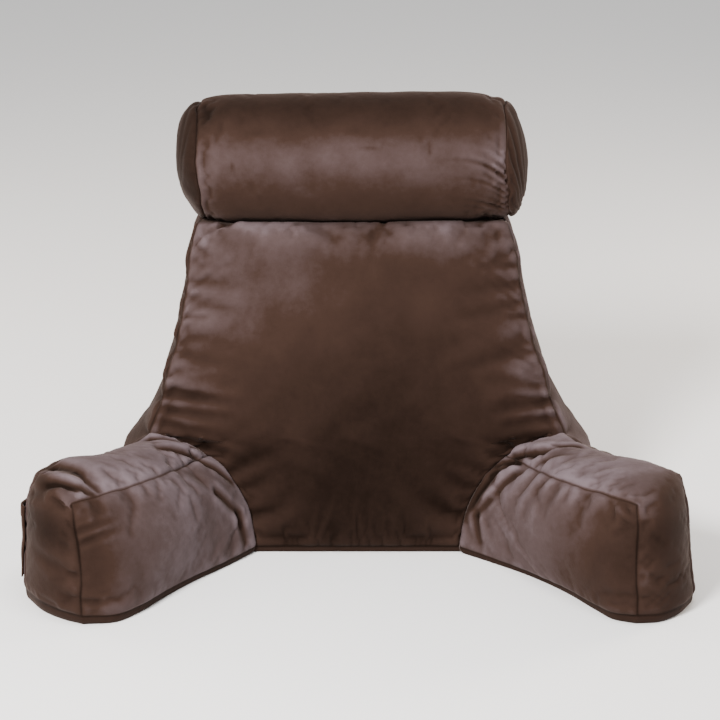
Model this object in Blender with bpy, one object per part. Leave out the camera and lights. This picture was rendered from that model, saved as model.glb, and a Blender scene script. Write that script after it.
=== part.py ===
"""Reading pillow: a leaning back cushion with two splayed arms, a neck roll and a side pocket.

Each cushion is cut from panels that meet in plain seams, and each panel is crowned by the
filling between its seams. Units are metres, +Z is up and -Y is the side that a reader leans on.
The origin is the centre of the back's flat underside.
"""
import math
from collections import namedtuple

import bmesh
import bpy
import numpy as np

# Driving dimensions of the back
FRONT_FOOT = -0.100                 # y of the front panel where it meets the floor
LEAN = math.radians(13.0)           # the front panel leans back by this much
SEAM_LIFT = 0.008                   # the base seams run this far above the floor
TOP_SEAM_HEIGHT = 0.386
FRONT_CROWN = 0.028
REAR_CROWN = 0.016
TOP_CROWN = 0.012
FRONT_FULLNESS = 0.7                # lower values carry a panel's crown closer to its seams
PANEL_FULLNESS = 0.8
SIDE_FULLNESS = 0.6

# Driving dimensions of the arms
ARM_SPLAY = math.radians(45.6)      # between an arm and straight ahead
ARM_ROOT = (0.204, FRONT_FOOT)      # the point that an arm's own measures start from
INNER_CROWN = 0.010
OUTER_CROWN = 0.018
ARM_TOP_CROWN = 0.012
END_CROWN = 0.014

# Driving dimensions of the neck roll
ROLL_RADIUS = 0.075
ROLL_SEAM_HALF_SPACING = 0.1805     # from the roll's middle to each end seam
ROLL_SEAM_SHARE = 0.89              # the end seams draw the barrel in to this share
ROLL_SEAM_SAG = 0.003               # the ends hang this far below the barrel's axis
ROLL_SWELL_POWER = 8                # how late the barrel narrows and sags towards its end seams
ROLL_DOME_POWER = 0.9               # how pointed its end panels are
ROLL_CAP_DEPTH = 0.031
ROLL_CENTRE = (-0.006, 0.025, 0.456)
ROLL_TILT = math.radians(0.35)      # its right end lies a little higher
ROLL_FLAT = 0.071                   # from the axis down to its pressed, flat underside
ROLL_ROOM = 0.12                    # slope of the room beside that flat underside

# Driving dimensions of the pocket
POCKET_THICKNESS = 0.0025
POCKET_MOUTH_GAP = 0.0030           # the hem stands off the arm by this much more
POCKET_MOUTH_SHARPNESS = 0.5        # lower values open the mouth more evenly along the hem
POCKET_MOUTH_RISE = 4               # how late, going up, the patch leaves the arm
POCKET_SEAT = 0.0005                # the patch's gap to the arm at its sewn edges

CLEARANCE = 0.0003                  # between pieces that touch
WELD_DISTANCE = 1e-5                # points of neighbouring panels this close are one
BASE_ROUNDING = ((0.995, 0.30), (0.955, 0.0))   # share of the outline, share of the seam lift

# Number of cells along each kind of seam
CURVE_SAMPLES = 40                  # fine steps per point when a seam is drawn through its points
CELLS_FRONT = 24                    # across the front, the top and the rear
CELLS_DEPTH = 9                     # across the back's sides
CELLS_SIDE = 16                     # up the side seam, above the arms
CELLS_ARM_HEIGHT = 10
CELLS_ARM_WIDTH = 9
CELLS_ARM_LENGTH = 22
CELLS_ROUND = 36                    # round the neck roll
CELLS_BARREL = 20
CELLS_CAP = 6
POCKET_COLUMNS = (6, 22)            # the arm's grid lines that the pocket spans, from the root
POCKET_ROWS = (1, 8)                # and from the floor up

VELVET_COLOURS = {
    "velvet_back": (0.080, 0.047, 0.040),
    "velvet_arms": (0.085, 0.050, 0.043),
    "velvet_roll": (0.075, 0.045, 0.038),
    "velvet_pocket": (0.090, 0.055, 0.047),
}
VELVET_ROUGHNESS = 0.85
VELVET_SHEEN = 0.4

AHEAD = np.array((0.0, -1.0, 0.0))
RIGHTWARD = np.array((1.0, 0.0, 0.0))
UPWARD = np.array((0.0, 0.0, 1.0))
INWARD = np.array((-math.cos(ARM_SPLAY), -math.sin(ARM_SPLAY), 0.0))
ENDWARD = np.array((math.sin(ARM_SPLAY), -math.cos(ARM_SPLAY), 0.0))

PlanePoint = namedtuple("PlanePoint", "x z")
SpacePoint = namedtuple("SpacePoint", "x y z")
ArmPoint = namedtuple("ArmPoint", "along across z")
Swell = namedtuple("Swell", "z out")
Fold = namedtuple("Fold", "panel u_from v_from u_to v_to width depth")

# Where an arm joins the front panel, from its inner foot up and out to the side seam
JOINT_ARC_LOWER = [
    PlanePoint(0.122, SEAM_LIFT),
    PlanePoint(0.125, 0.024),
    PlanePoint(0.130, 0.049),
    PlanePoint(0.141, 0.073),
    PlanePoint(0.156, 0.094),
    PlanePoint(0.178, 0.114),
]
JOINT_ARC_UPPER = [
    PlanePoint(0.178, 0.114),
    PlanePoint(0.193, 0.123),
    PlanePoint(0.213, 0.130),
    PlanePoint(0.234, 0.136),
    PlanePoint(0.248, 0.140),
]
JOINT_OUTER = [
    PlanePoint(0.285, SEAM_LIFT),
    PlanePoint(0.281, 0.040),
    PlanePoint(0.270, 0.085),
    PlanePoint(0.248, 0.140),
]
SIDE_SEAM = [
    PlanePoint(0.248, 0.140),
    PlanePoint(0.232, 0.180),
    PlanePoint(0.223, 0.215),
    PlanePoint(0.214, 0.240),
    PlanePoint(0.205, 0.278),
    PlanePoint(0.198, 0.312),
    PlanePoint(0.193, 0.350),
    PlanePoint(0.186, 0.374),
    PlanePoint(0.181, TOP_SEAM_HEIGHT),
]
REAR_SEAM = [
    SpacePoint(0.246, 0.094, SEAM_LIFT),
    SpacePoint(0.236, 0.102, 0.140),
    SpacePoint(0.200, 0.108, 0.270),
    SpacePoint(0.178, 0.104, 0.384),
]
GUSSET_TOP = [
    SpacePoint(0.181, FRONT_FOOT + TOP_SEAM_HEIGHT * math.tan(LEAN), TOP_SEAM_HEIGHT),
    SpacePoint(0.185, 0.025, 0.379),
    SpacePoint(0.186, 0.050, 0.381),
    SpacePoint(0.184, 0.075, 0.387),
    SpacePoint(0.178, 0.104, 0.384),
]
# How far the side strip swells out between its front and rear seams, by height
GUSSET_SWELL = [
    Swell(SEAM_LIFT, 0.028),
    Swell(0.060, 0.032),
    Swell(0.110, 0.027),
    Swell(0.140, 0.013),
    Swell(0.180, 0.004),
    Swell(0.240, 0.006),
    Swell(0.300, 0.006),
    Swell(0.360, 0.007),
    Swell(TOP_SEAM_HEIGHT, 0.005),
]

# Seams of each arm, in the arm's own measures: out from the front panel, across towards the
# reader's side, and up. The two differ, because the filling has settled differently.
RIGHT_ARM = {
    "inner foot": [
        ArmPoint(-0.020, 0.054, 0.007),
        ArmPoint(0.044, 0.053, 0.006),
        ArmPoint(0.113, 0.062, 0.007),
        ArmPoint(0.170, 0.077, 0.008),
        ArmPoint(0.200, 0.083, 0.010),
        ArmPoint(0.225, 0.074, 0.012),
    ],
    "outer foot": [
        ArmPoint(0.131, -0.050, 0.009),
        ArmPoint(0.200, -0.038, 0.011),
        ArmPoint(0.235, -0.014, 0.012),
    ],
    "inner top": [
        ArmPoint(-0.002, 0.014, 0.119),
        ArmPoint(0.029, 0.027, 0.123),
        ArmPoint(0.073, 0.048, 0.129),
        ArmPoint(0.105, 0.057, 0.133),
        ArmPoint(0.160, 0.064, 0.138),
        ArmPoint(0.217, 0.071, 0.141),
    ],
    "outer top": [
        ArmPoint(0.024, -0.044, 0.141),
        ArmPoint(0.065, -0.034, 0.141),
        ArmPoint(0.109, -0.028, 0.142),
        ArmPoint(0.163, -0.028, 0.147),
        ArmPoint(0.204, -0.022, 0.149),
    ],
    "end inner": [
        ArmPoint(0.225, 0.074, 0.012),
        ArmPoint(0.225, 0.078, 0.067),
        ArmPoint(0.222, 0.075, 0.108),
        ArmPoint(0.217, 0.071, 0.141),
    ],
    "end outer": [
        ArmPoint(0.235, -0.014, 0.012),
        ArmPoint(0.224, -0.020, 0.060),
        ArmPoint(0.216, -0.022, 0.110),
        ArmPoint(0.204, -0.022, 0.149),
    ],
    "end foot": [
        ArmPoint(0.225, 0.074, 0.012),
        ArmPoint(0.241, 0.053, 0.012),
        ArmPoint(0.244, 0.022, 0.012),
        ArmPoint(0.235, -0.014, 0.012),
    ],
}
LEFT_ARM = {
    "inner foot": [
        ArmPoint(-0.022, 0.064, 0.008),
        ArmPoint(0.062, 0.076, 0.008),
        ArmPoint(0.105, 0.086, 0.009),
        ArmPoint(0.154, 0.099, 0.010),
        ArmPoint(0.190, 0.102, 0.011),
        ArmPoint(0.222, 0.080, 0.012),
    ],
    "outer foot": [
        ArmPoint(0.131, -0.050, 0.009),
        ArmPoint(0.190, -0.036, 0.012),
        ArmPoint(0.222, -0.022, 0.014),
    ],
    "inner top": [
        ArmPoint(-0.002, 0.014, 0.119),
        ArmPoint(0.029, 0.027, 0.124),
        ArmPoint(0.073, 0.046, 0.130),
        ArmPoint(0.105, 0.055, 0.134),
        ArmPoint(0.160, 0.060, 0.138),
        ArmPoint(0.215, 0.060, 0.139),
    ],
    "outer top": [
        ArmPoint(0.024, -0.044, 0.141),
        ArmPoint(0.065, -0.034, 0.142),
        ArmPoint(0.108, -0.029, 0.143),
        ArmPoint(0.150, -0.030, 0.150),
        ArmPoint(0.198, -0.020, 0.150),
    ],
    "end inner": [
        ArmPoint(0.222, 0.080, 0.012),
        ArmPoint(0.222, 0.081, 0.055),
        ArmPoint(0.221, 0.076, 0.100),
        ArmPoint(0.215, 0.060, 0.139),
    ],
    "end outer": [
        ArmPoint(0.222, -0.022, 0.014),
        ArmPoint(0.216, -0.026, 0.070),
        ArmPoint(0.210, -0.024, 0.120),
        ArmPoint(0.198, -0.020, 0.150),
    ],
    "end foot": [
        ArmPoint(0.222, 0.080, 0.012),
        ArmPoint(0.229, 0.057, 0.013),
        ArmPoint(0.232, 0.022, 0.014),
        ArmPoint(0.222, -0.022, 0.014),
    ],
}

# The main folds: where each starts and ends, as shares of its panel's length and height
BACK_FOLDS = [
    Fold("front", 0.08, 0.97, 0.20, 0.91, 0.013, 0.004),
    Fold("front", 0.02, 0.64, 0.21, 0.62, 0.012, 0.004),
    Fold("front", 0.02, 0.59, 0.18, 0.58, 0.012, 0.004),
    Fold("front", 0.98, 0.65, 0.87, 0.67, 0.012, 0.003),
    Fold("front", 0.98, 0.60, 0.87, 0.59, 0.012, 0.005),
    Fold("front", 0.98, 0.96, 0.89, 0.96, 0.011, 0.003),
    Fold("front", 0.98, 0.92, 0.91, 0.91, 0.011, 0.003),
]
RIGHT_FOLDS = [
    Fold("top", 0.04, 0.12, 0.28, 0.72, 0.011, 0.009),
    Fold("top", 0.38, 0.20, 0.44, 0.75, 0.012, 0.003),
    Fold("inner", 0.03, 0.78, 0.13, 0.95, 0.010, 0.007),
    Fold("inner", 0.09, 0.71, 0.04, 0.36, 0.010, 0.005),
    Fold("inner", 0.04, 0.32, 0.10, 0.13, 0.009, 0.004),
    Fold("inner", 0.33, 0.95, 0.31, 0.52, 0.010, 0.003),
    Fold("inner", 0.53, 0.95, 0.49, 0.58, 0.010, 0.003),
    Fold("inner", 0.72, 0.95, 0.67, 0.61, 0.010, 0.003),
]
LEFT_FOLDS = [
    Fold("top", 0.96, 0.82, 0.88, 0.05, 0.011, 0.008),
    Fold("top", 0.82, 0.92, 0.81, 0.30, 0.012, 0.005),
    Fold("top", 0.06, 0.88, 0.08, 0.10, 0.010, 0.006),
    Fold("inner", 0.09, 0.94, 0.05, 0.65, 0.011, 0.006),
    Fold("inner", 0.14, 0.59, 0.06, 0.16, 0.011, 0.004),
    Fold("end", 0.57, 0.58, 0.08, 0.62, 0.010, 0.004),
]


def clear_scene():
    for item in list(bpy.data.objects):
        bpy.data.objects.remove(item, do_unlink=True)


def velvet_material(name):
    """A brown velvet with a soft sheen."""
    material = bpy.data.materials.new(name)
    material.use_nodes = True
    shader = material.node_tree.nodes["Principled BSDF"]
    shader.inputs["Base Color"].default_value = (*VELVET_COLOURS[name], 1.0)
    shader.inputs["Roughness"].default_value = VELVET_ROUGHNESS
    shader.inputs["Metallic"].default_value = 0.0
    shader.inputs["Sheen Weight"].default_value = VELVET_SHEEN
    return material


def smooth_curve(points, cells):
    """A smooth curve through the points, sampled evenly in the given number of cells."""
    points = np.asarray(points, float)
    gaps = np.linalg.norm(np.diff(points, axis=0), axis=1)
    knots = np.concatenate([[0.0], np.cumsum(gaps)])
    slopes = np.gradient(points, knots, axis=0)
    places = np.linspace(0.0, knots[-1], CURVE_SAMPLES * len(points))
    span = np.clip(np.searchsorted(knots, places, side="right") - 1, 0, len(points) - 2)
    step = (knots[span + 1] - knots[span])[:, None]
    t = (places - knots[span])[:, None] / step
    dense = (
        (2 * t**3 - 3 * t**2 + 1) * points[span]
        + (t**3 - 2 * t**2 + t) * step * slopes[span]
        + (3 * t**2 - 2 * t**3) * points[span + 1]
        + (t**3 - t**2) * step * slopes[span + 1]
    )
    travelled = np.concatenate([[0.0], np.cumsum(np.linalg.norm(np.diff(dense, axis=0), axis=1))])
    evenly = np.linspace(0.0, travelled[-1], cells + 1)
    return np.stack([np.interp(evenly, travelled, dense[:, axis]) for axis in range(3)], axis=1)


def joined(*curves):
    """Curves that follow each other end to end, as one."""
    return np.concatenate([curves[0]] + [curve[1:] for curve in curves[1:]])


def mirrored(points):
    return np.asarray(points) * (-1.0, 1.0, 1.0)


def front_plane(point, out=0.0):
    """The place on the leaning front plane at a point's x and z, or a distance out from it."""
    y = FRONT_FOOT + point.z * math.tan(LEAN) - out * math.cos(LEAN)
    return (point.x, y, point.z + out * math.sin(LEAN))


def arm_place(point):
    """The place of a point that is given along and across the right arm."""
    x = ARM_ROOT[0] + point.along * math.sin(ARM_SPLAY) - point.across * math.cos(ARM_SPLAY)
    y = ARM_ROOT[1] - point.along * math.cos(ARM_SPLAY) - point.across * math.sin(ARM_SPLAY)
    return (x, y, point.z)


def coons_patch(low, high, left, right):
    """A panel's grid between four seams: low and high run along it, left and right across."""
    u = np.linspace(0.0, 1.0, len(low))[:, None, None]
    v = np.linspace(0.0, 1.0, len(left))[None, :, None]
    between_low_high = (1 - v) * low[:, None] + v * high[:, None]
    between_left_right = (1 - u) * left[None] + u * right[None]
    low_corners = (1 - v) * ((1 - u) * low[0] + u * low[-1])
    high_corners = v * ((1 - u) * high[0] + u * high[-1])
    return between_low_high + between_left_right - low_corners - high_corners


def normals_of(grid, outward):
    """Unit normals at a grid's points, on the side that the outward direction shows."""
    along = np.gradient(grid, axis=0)
    across = np.gradient(grid, axis=1)
    normals = np.cross(along, across)
    normals /= np.linalg.norm(normals, axis=2, keepdims=True) + 1e-12
    if (normals.mean(axis=(0, 1)) * outward).sum() < 0:
        normals = -normals
    return normals


def crowned(grid, height, outward, fullness=PANEL_FULLNESS):
    """The panel pushed out by its filling, most in the middle and not at all at its seams."""
    u = np.linspace(0.0, 1.0, grid.shape[0])[:, None]
    v = np.linspace(0.0, 1.0, grid.shape[1])[None, :]
    swell = (16 * u * (1 - u) * v * (1 - v)) ** fullness
    return grid + height * swell[..., None] * normals_of(grid, outward)


def place_on(grid, u, v):
    """The point of a grid at a share of its length and height."""
    row = u * (grid.shape[0] - 1)
    column = v * (grid.shape[1] - 1)
    i = min(int(row), grid.shape[0] - 2)
    j = min(int(column), grid.shape[1] - 2)
    low = grid[i, j] * (i + 1 - row) + grid[i + 1, j] * (row - i)
    high = grid[i, j + 1] * (i + 1 - row) + grid[i + 1, j + 1] * (row - i)
    return low * (j + 1 - column) + high * (column - j)


def folded(panels, folds):
    """The panels with each fold pressed in as a soft trough, or raised where its depth is negative."""
    creased = dict(panels)
    for fold in folds:
        grid, outward = creased[fold.panel]
        start = place_on(grid, fold.u_from, fold.v_from)
        run = place_on(grid, fold.u_to, fold.v_to) - start
        share = np.clip(((grid - start) * run).sum(axis=2) / (run * run).sum(), 0.0, 1.0)
        distance = np.linalg.norm(grid - start - share[..., None] * run, axis=2)
        press = fold.depth * np.exp(-((distance / fold.width) ** 2))
        press[[0, -1], :] = 0.0
        press[:, [0, -1]] = 0.0
        creased[fold.panel] = (grid - press[..., None] * normals_of(grid, outward), outward)
    return creased


class Shell:
    """Panels gathered into one closed cushion."""

    def __init__(self):
        self.points = []
        self.faces = []

    def add_panel(self, grid, outward):
        start = len(self.points)
        rows, columns = grid.shape[:2]
        self.points.extend(map(tuple, grid.reshape(-1, 3)))
        normal = np.cross(grid[-1, -1] - grid[0, 0], grid[0, -1] - grid[-1, 0])
        flip = (normal * outward).sum() < 0
        for i in range(rows - 1):
            for j in range(columns - 1):
                a = start + i * columns + j
                b, c, d = a + columns, a + columns + 1, a + 1
                for corners in ((a, b, c), (a, c, d)):
                    self.faces.append(corners[::-1] if flip else corners)

    def add_strip(self, outer, inner):
        """A strip between two closed loops with the same number of points."""
        start = len(self.points)
        count = len(outer)
        self.points.extend(map(tuple, outer))
        self.points.extend(map(tuple, inner))
        for i in range(count):
            k = (i + 1) % count
            self.faces.append((start + i, start + k, start + count + k))
            self.faces.append((start + i, start + count + k, start + count + i))

    def add_point_fan(self, loop, tip):
        start = len(self.points)
        count = len(loop)
        self.points.extend(map(tuple, loop))
        self.points.append(tip)
        for i in range(count):
            self.faces.append((start + i, start + (i + 1) % count, start + count))

    def add_cap(self, loop):
        start = len(self.points)
        self.points.extend(map(tuple, loop))
        self.faces.append(tuple(range(start, start + len(loop))))

    def add_base(self, seam_loop):
        """A base panel that turns under from its seam and lies flat on the floor."""
        centre = seam_loop.mean(axis=0)
        outer = seam_loop
        for share, lift in BASE_ROUNDING:
            inner = centre + (seam_loop - centre) * share
            inner[:, 2] = seam_loop[:, 2] * lift
            self.add_strip(outer, inner)
            outer = inner
        self.add_cap(outer)

    def build(self, name, material):
        mesh = bpy.data.meshes.new(name)
        shape = bmesh.new()
        corners = [shape.verts.new(point) for point in self.points]
        for face in self.faces:
            shape.faces.new([corners[index] for index in face])
        bmesh.ops.remove_doubles(shape, verts=shape.verts, dist=WELD_DISTANCE)
        bmesh.ops.recalc_face_normals(shape, faces=shape.faces)
        shape.to_mesh(mesh)
        shape.free()
        mesh.shade_smooth()
        mesh.materials.append(material)
        cushion = bpy.data.objects.new(name, mesh)
        bpy.context.scene.collection.objects.link(cushion)
        return cushion


def roll_underside(x, y):
    """The height of the neck roll's underside, with a little room towards its sides."""
    reach = np.abs(y - ROLL_CENTRE[1])
    axis_height = ROLL_CENTRE[2] + (x - ROLL_CENTRE[0]) * math.tan(ROLL_TILT)
    flat_reach = math.sqrt(ROLL_RADIUS**2 - ROLL_FLAT**2)
    round_drop = np.sqrt(np.maximum(ROLL_RADIUS**2 - reach**2, 0.0))
    drop = np.minimum(ROLL_FLAT, round_drop) / math.cos(ROLL_TILT)
    room = CLEARANCE + ROLL_ROOM * np.maximum(reach - flat_reach, 0.0)
    return axis_height - drop - room


def side_strip(front_seam, rear_seam, top):
    """The back's side strip, row by row from the floor up, swollen between its two seams."""
    depth = np.linspace(0.0, 1.0, CELLS_DEPTH + 1)
    front = front_seam[:, None]
    rear = rear_seam[:, None]
    grid = front + (rear - front) * depth[None, :, None]
    heights = [swell.z for swell in GUSSET_SWELL]
    swells = [swell.out for swell in GUSSET_SWELL]
    out = np.interp(grid[..., 2], heights, swells)
    grid[..., 0] += out * (4 * depth * (1 - depth)) ** SIDE_FULLNESS
    grid[-1] = top
    return grid


def back_panels():
    """The grids of the back's panels, each with its outward direction, and its base outline."""
    arc_lower = smooth_curve([front_plane(point) for point in JOINT_ARC_LOWER], CELLS_ARM_HEIGHT)
    arc_upper = smooth_curve([front_plane(point) for point in JOINT_ARC_UPPER], CELLS_ARM_WIDTH)
    joint_outer = smooth_curve([front_plane(point) for point in JOINT_OUTER], CELLS_ARM_HEIGHT)
    side_seam = smooth_curve([front_plane(point) for point in SIDE_SEAM], CELLS_SIDE)
    joint_foot = smooth_curve([arc_lower[0], joint_outer[0]], CELLS_ARM_WIDTH)
    front_side = joined(arc_lower, arc_upper, side_seam)
    front_foot = smooth_curve([mirrored(front_side[0]), front_side[0]], CELLS_FRONT)
    front_top = smooth_curve([mirrored(front_side[-1]), front_side[-1]], CELLS_FRONT)
    rear_seam = smooth_curve(REAR_SEAM, CELLS_ARM_HEIGHT + CELLS_SIDE)
    rear_foot = smooth_curve([mirrored(rear_seam[0]), rear_seam[0]], CELLS_FRONT)
    rear_top = smooth_curve([mirrored(rear_seam[-1]), rear_seam[-1]], CELLS_FRONT)
    gusset_top = smooth_curve(GUSSET_TOP, CELLS_DEPTH)

    front = coons_patch(front_foot, front_top, mirrored(front_side), front_side)
    rear = coons_patch(rear_foot, rear_top, mirrored(rear_seam), rear_seam)
    top = coons_patch(front_top, rear_top, mirrored(gusset_top), gusset_top)
    top = crowned(top, TOP_CROWN, UPWARD)
    top[..., 2] = np.minimum(top[..., 2], roll_underside(top[..., 0], top[..., 1]))
    side = side_strip(joined(joint_outer, side_seam), rear_seam, gusset_top)
    joint = coons_patch(joint_foot, arc_upper, arc_lower, joint_outer)
    panels = {
        "front": (crowned(front, FRONT_CROWN, AHEAD, FRONT_FULLNESS), AHEAD),
        "rear": (crowned(rear, REAR_CROWN, -AHEAD), -AHEAD),
        "top": (top, UPWARD),
        "right side": (side, RIGHTWARD),
        "left side": (mirrored(side), -RIGHTWARD),
        "right joint": (joint, AHEAD),
        "left joint": (mirrored(joint), AHEAD),
    }
    right_foot = np.concatenate([joint_foot[1:], side[0][1:]])
    outline = [front_foot, right_foot, rear_foot[1:-1][::-1], mirrored(right_foot)[::-1]]
    return panels, np.concatenate(outline)


def back_cushion(material):
    panels, outline = back_panels()
    panels = folded(panels, BACK_FOLDS)
    shell = Shell()
    for grid, outward in panels.values():
        shell.add_panel(grid, outward)
    shell.add_base(outline)
    return shell.build("back", material)


def arm_panels(seams):
    """The grids of an arm's panels and the outline of its base, as on the right side."""
    def seam(name, cells, *start):
        return smooth_curve([*start, *map(arm_place, seams[name])], cells)

    arc_lower_points = [front_plane(point, CLEARANCE) for point in JOINT_ARC_LOWER]
    arc_upper_points = [front_plane(point, CLEARANCE) for point in JOINT_ARC_UPPER]
    outer_points = [front_plane(point, CLEARANCE) for point in JOINT_OUTER]
    arc_lower = smooth_curve(arc_lower_points, CELLS_ARM_HEIGHT)
    arc_upper = smooth_curve(arc_upper_points, CELLS_ARM_WIDTH)
    joint_outer = smooth_curve(outer_points, CELLS_ARM_HEIGHT)
    joint_foot = smooth_curve([arc_lower[0], joint_outer[0]], CELLS_ARM_WIDTH)

    inner_foot = seam("inner foot", CELLS_ARM_LENGTH, arc_lower[0])
    outer_foot = seam("outer foot", CELLS_ARM_LENGTH, joint_outer[0])
    inner_top = seam("inner top", CELLS_ARM_LENGTH, arc_upper[0])
    outer_top = seam("outer top", CELLS_ARM_LENGTH, arc_upper[-1])
    end_inner = seam("end inner", CELLS_ARM_HEIGHT)
    end_outer = seam("end outer", CELLS_ARM_HEIGHT)
    end_foot = seam("end foot", CELLS_ARM_WIDTH)
    end_top = smooth_curve([end_inner[-1], end_outer[-1]], CELLS_ARM_WIDTH)

    inner = coons_patch(inner_foot, inner_top, arc_lower, end_inner)
    outer = coons_patch(outer_foot, outer_top, joint_outer, end_outer)
    top = coons_patch(inner_top, outer_top, arc_upper, end_top)
    end = coons_patch(end_foot, end_top, end_inner, end_outer)
    joint = coons_patch(joint_foot, arc_upper, arc_lower, joint_outer)
    panels = {
        "inner": (crowned(inner, INNER_CROWN, INWARD), INWARD),
        "outer": (crowned(outer, OUTER_CROWN, -INWARD), -INWARD),
        "top": (crowned(top, ARM_TOP_CROWN, UPWARD), UPWARD),
        "end": (crowned(end, END_CROWN, ENDWARD), ENDWARD),
        "joint": (joint, -ENDWARD),
    }
    outline = [inner_foot, end_foot[1:], outer_foot[::-1][1:], joint_foot[::-1][1:-1]]
    return panels, np.concatenate(outline)


def arm_cushion(name, seams, folds, flip, material):
    """One arm: flip leaves it on the right or mirrors it to the left."""
    panels, outline = arm_panels(seams)
    panels = folded(panels, folds)
    shell = Shell()
    for grid, outward in panels.values():
        shell.add_panel(flip(grid), flip(outward))
    shell.add_base(flip(outline))
    return shell.build(name, material)


def side_pocket(material):
    """A flat patch that follows the left arm's outer panel and stands off at its mouth."""
    outer, outward = arm_panels(LEFT_ARM)[0]["outer"]
    columns = slice(*POCKET_COLUMNS)
    rows = slice(*POCKET_ROWS)
    patch = mirrored(outer)[columns, rows]
    normals = normals_of(mirrored(outer), mirrored(outward))[columns, rows]
    across = np.linspace(0.0, 1.0, patch.shape[0])[:, None]
    upwards = np.linspace(0.0, 1.0, patch.shape[1])[None, :]
    opening = np.sin(math.pi * across) ** POCKET_MOUTH_SHARPNESS * upwards**POCKET_MOUTH_RISE
    slack = POCKET_MOUTH_GAP * opening
    under = patch + (POCKET_SEAT + slack)[..., None] * normals
    face = under + POCKET_THICKNESS * normals
    shell = Shell()
    shell.add_panel(under, -mirrored(outward))
    shell.add_panel(face, mirrored(outward))
    shell.add_strip(rim_of(face), rim_of(under))
    return shell.build("pocket", material)


def rim_of(grid):
    """The points round a grid's edge, as one closed loop."""
    return np.concatenate([grid[:-1, 0], grid[-1, :-1], grid[:0:-1, -1], grid[0, :0:-1]])


def neck_roll(material):
    """A filled barrel with a domed panel at each end, pressed flat where it rests."""
    seam_radius = ROLL_RADIUS * ROLL_SEAM_SHARE
    profile = []
    for step in range(1, CELLS_CAP):
        radius = seam_radius * math.sin(step / CELLS_CAP * math.pi / 2)
        dome = (1.0 - (radius / seam_radius) ** 2) ** ROLL_DOME_POWER
        profile.append((ROLL_SEAM_HALF_SPACING + ROLL_CAP_DEPTH * dome, radius))
    profile.append((ROLL_SEAM_HALF_SPACING, seam_radius))
    for place in np.linspace(1.0, -1.0, CELLS_BARREL + 1)[1:-1]:
        swell = 1.0 - abs(place) ** ROLL_SWELL_POWER
        radius = seam_radius + (ROLL_RADIUS - seam_radius) * swell
        profile.append((ROLL_SEAM_HALF_SPACING * place, radius))
    profile += [(-place, radius) for place, radius in profile[:CELLS_CAP][::-1]]

    angles = np.linspace(0.0, 2 * math.pi, CELLS_ROUND, endpoint=False)
    shell = Shell()
    rings = []
    for place, radius in profile:
        across = radius * np.cos(angles)
        sag = ROLL_SEAM_SAG * min(abs(place) / ROLL_SEAM_HALF_SPACING, 1.0) ** ROLL_SWELL_POWER
        up = radius * np.sin(angles) - sag
        ring = np.stack([np.full_like(angles, place), across, up], axis=1)
        ring[:, 2] = np.maximum(ring[:, 2], -ROLL_FLAT)
        rings.append(ring)
    for ring, following in zip(rings, rings[1:]):
        shell.add_strip(ring, following)
    tip = ROLL_SEAM_HALF_SPACING + ROLL_CAP_DEPTH
    shell.add_point_fan(rings[0], (tip, 0.0, -ROLL_SEAM_SAG))
    shell.add_point_fan(rings[-1], (-tip, 0.0, -ROLL_SEAM_SAG))
    roll = shell.build("neck_roll", material)
    roll.location = ROLL_CENTRE
    roll.rotation_euler = (0.0, -ROLL_TILT, 0.0)
    return roll


def main():
    clear_scene()
    arm_velvet = velvet_material("velvet_arms")
    back_cushion(velvet_material("velvet_back"))
    arm_cushion("arm_right", RIGHT_ARM, RIGHT_FOLDS, np.asarray, arm_velvet)
    arm_cushion("arm_left", LEFT_ARM, LEFT_FOLDS, mirrored, arm_velvet)
    neck_roll(velvet_material("velvet_roll"))
    side_pocket(velvet_material("velvet_pocket"))


main()
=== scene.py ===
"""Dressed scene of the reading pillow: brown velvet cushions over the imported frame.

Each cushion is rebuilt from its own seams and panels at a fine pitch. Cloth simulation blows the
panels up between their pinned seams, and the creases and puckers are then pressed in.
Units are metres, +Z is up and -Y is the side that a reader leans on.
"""
import math
from collections import namedtuple

import bmesh
import bpy
import numpy as np
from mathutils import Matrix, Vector


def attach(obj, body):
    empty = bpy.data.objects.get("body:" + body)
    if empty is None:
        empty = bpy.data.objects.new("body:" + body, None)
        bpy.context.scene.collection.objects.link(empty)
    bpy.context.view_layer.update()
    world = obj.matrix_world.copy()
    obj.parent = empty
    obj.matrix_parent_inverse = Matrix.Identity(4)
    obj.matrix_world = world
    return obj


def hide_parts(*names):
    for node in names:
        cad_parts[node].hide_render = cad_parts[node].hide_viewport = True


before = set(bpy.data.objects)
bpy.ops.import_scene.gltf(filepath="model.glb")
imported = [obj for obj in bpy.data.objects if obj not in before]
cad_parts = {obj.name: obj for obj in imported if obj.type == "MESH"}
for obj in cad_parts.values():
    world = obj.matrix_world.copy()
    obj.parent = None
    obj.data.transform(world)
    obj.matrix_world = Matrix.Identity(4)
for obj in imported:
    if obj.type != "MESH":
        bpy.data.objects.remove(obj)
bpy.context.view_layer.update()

# Driving dimensions of the back
FRONT_FOOT = -0.100  # y of the front panel where it meets the floor
LEAN = math.radians(13.0)  # the front panel leans back by this much
BASE_SEAM = 8  # in millimetres, how far the base seams run above the floor
TOP_SEAM = 386  # also in millimetres, the height of the seam over the front panel
TOP_SEAM_HEIGHT = TOP_SEAM / 1000
FRONT_CROWN = 0.022
REAR_CROWN = 0.013
TOP_CROWN = 0.012
LIP = 0.014  # the front's top edge bulges this far out below the roll
LIP_RADIUS = 0.012
LIP_FADE = 0.035
LIP_WAVES = (0.034, 0.22, 71)  # their length, their share of the lip and their seed
LIP_SIDE_POWER = 0.25  # lower values carry the lip further towards the side seams
LEANING = 0.0055  # its top stands this far off its middle, towards the left
LEANING_FROM = 0.14

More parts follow.
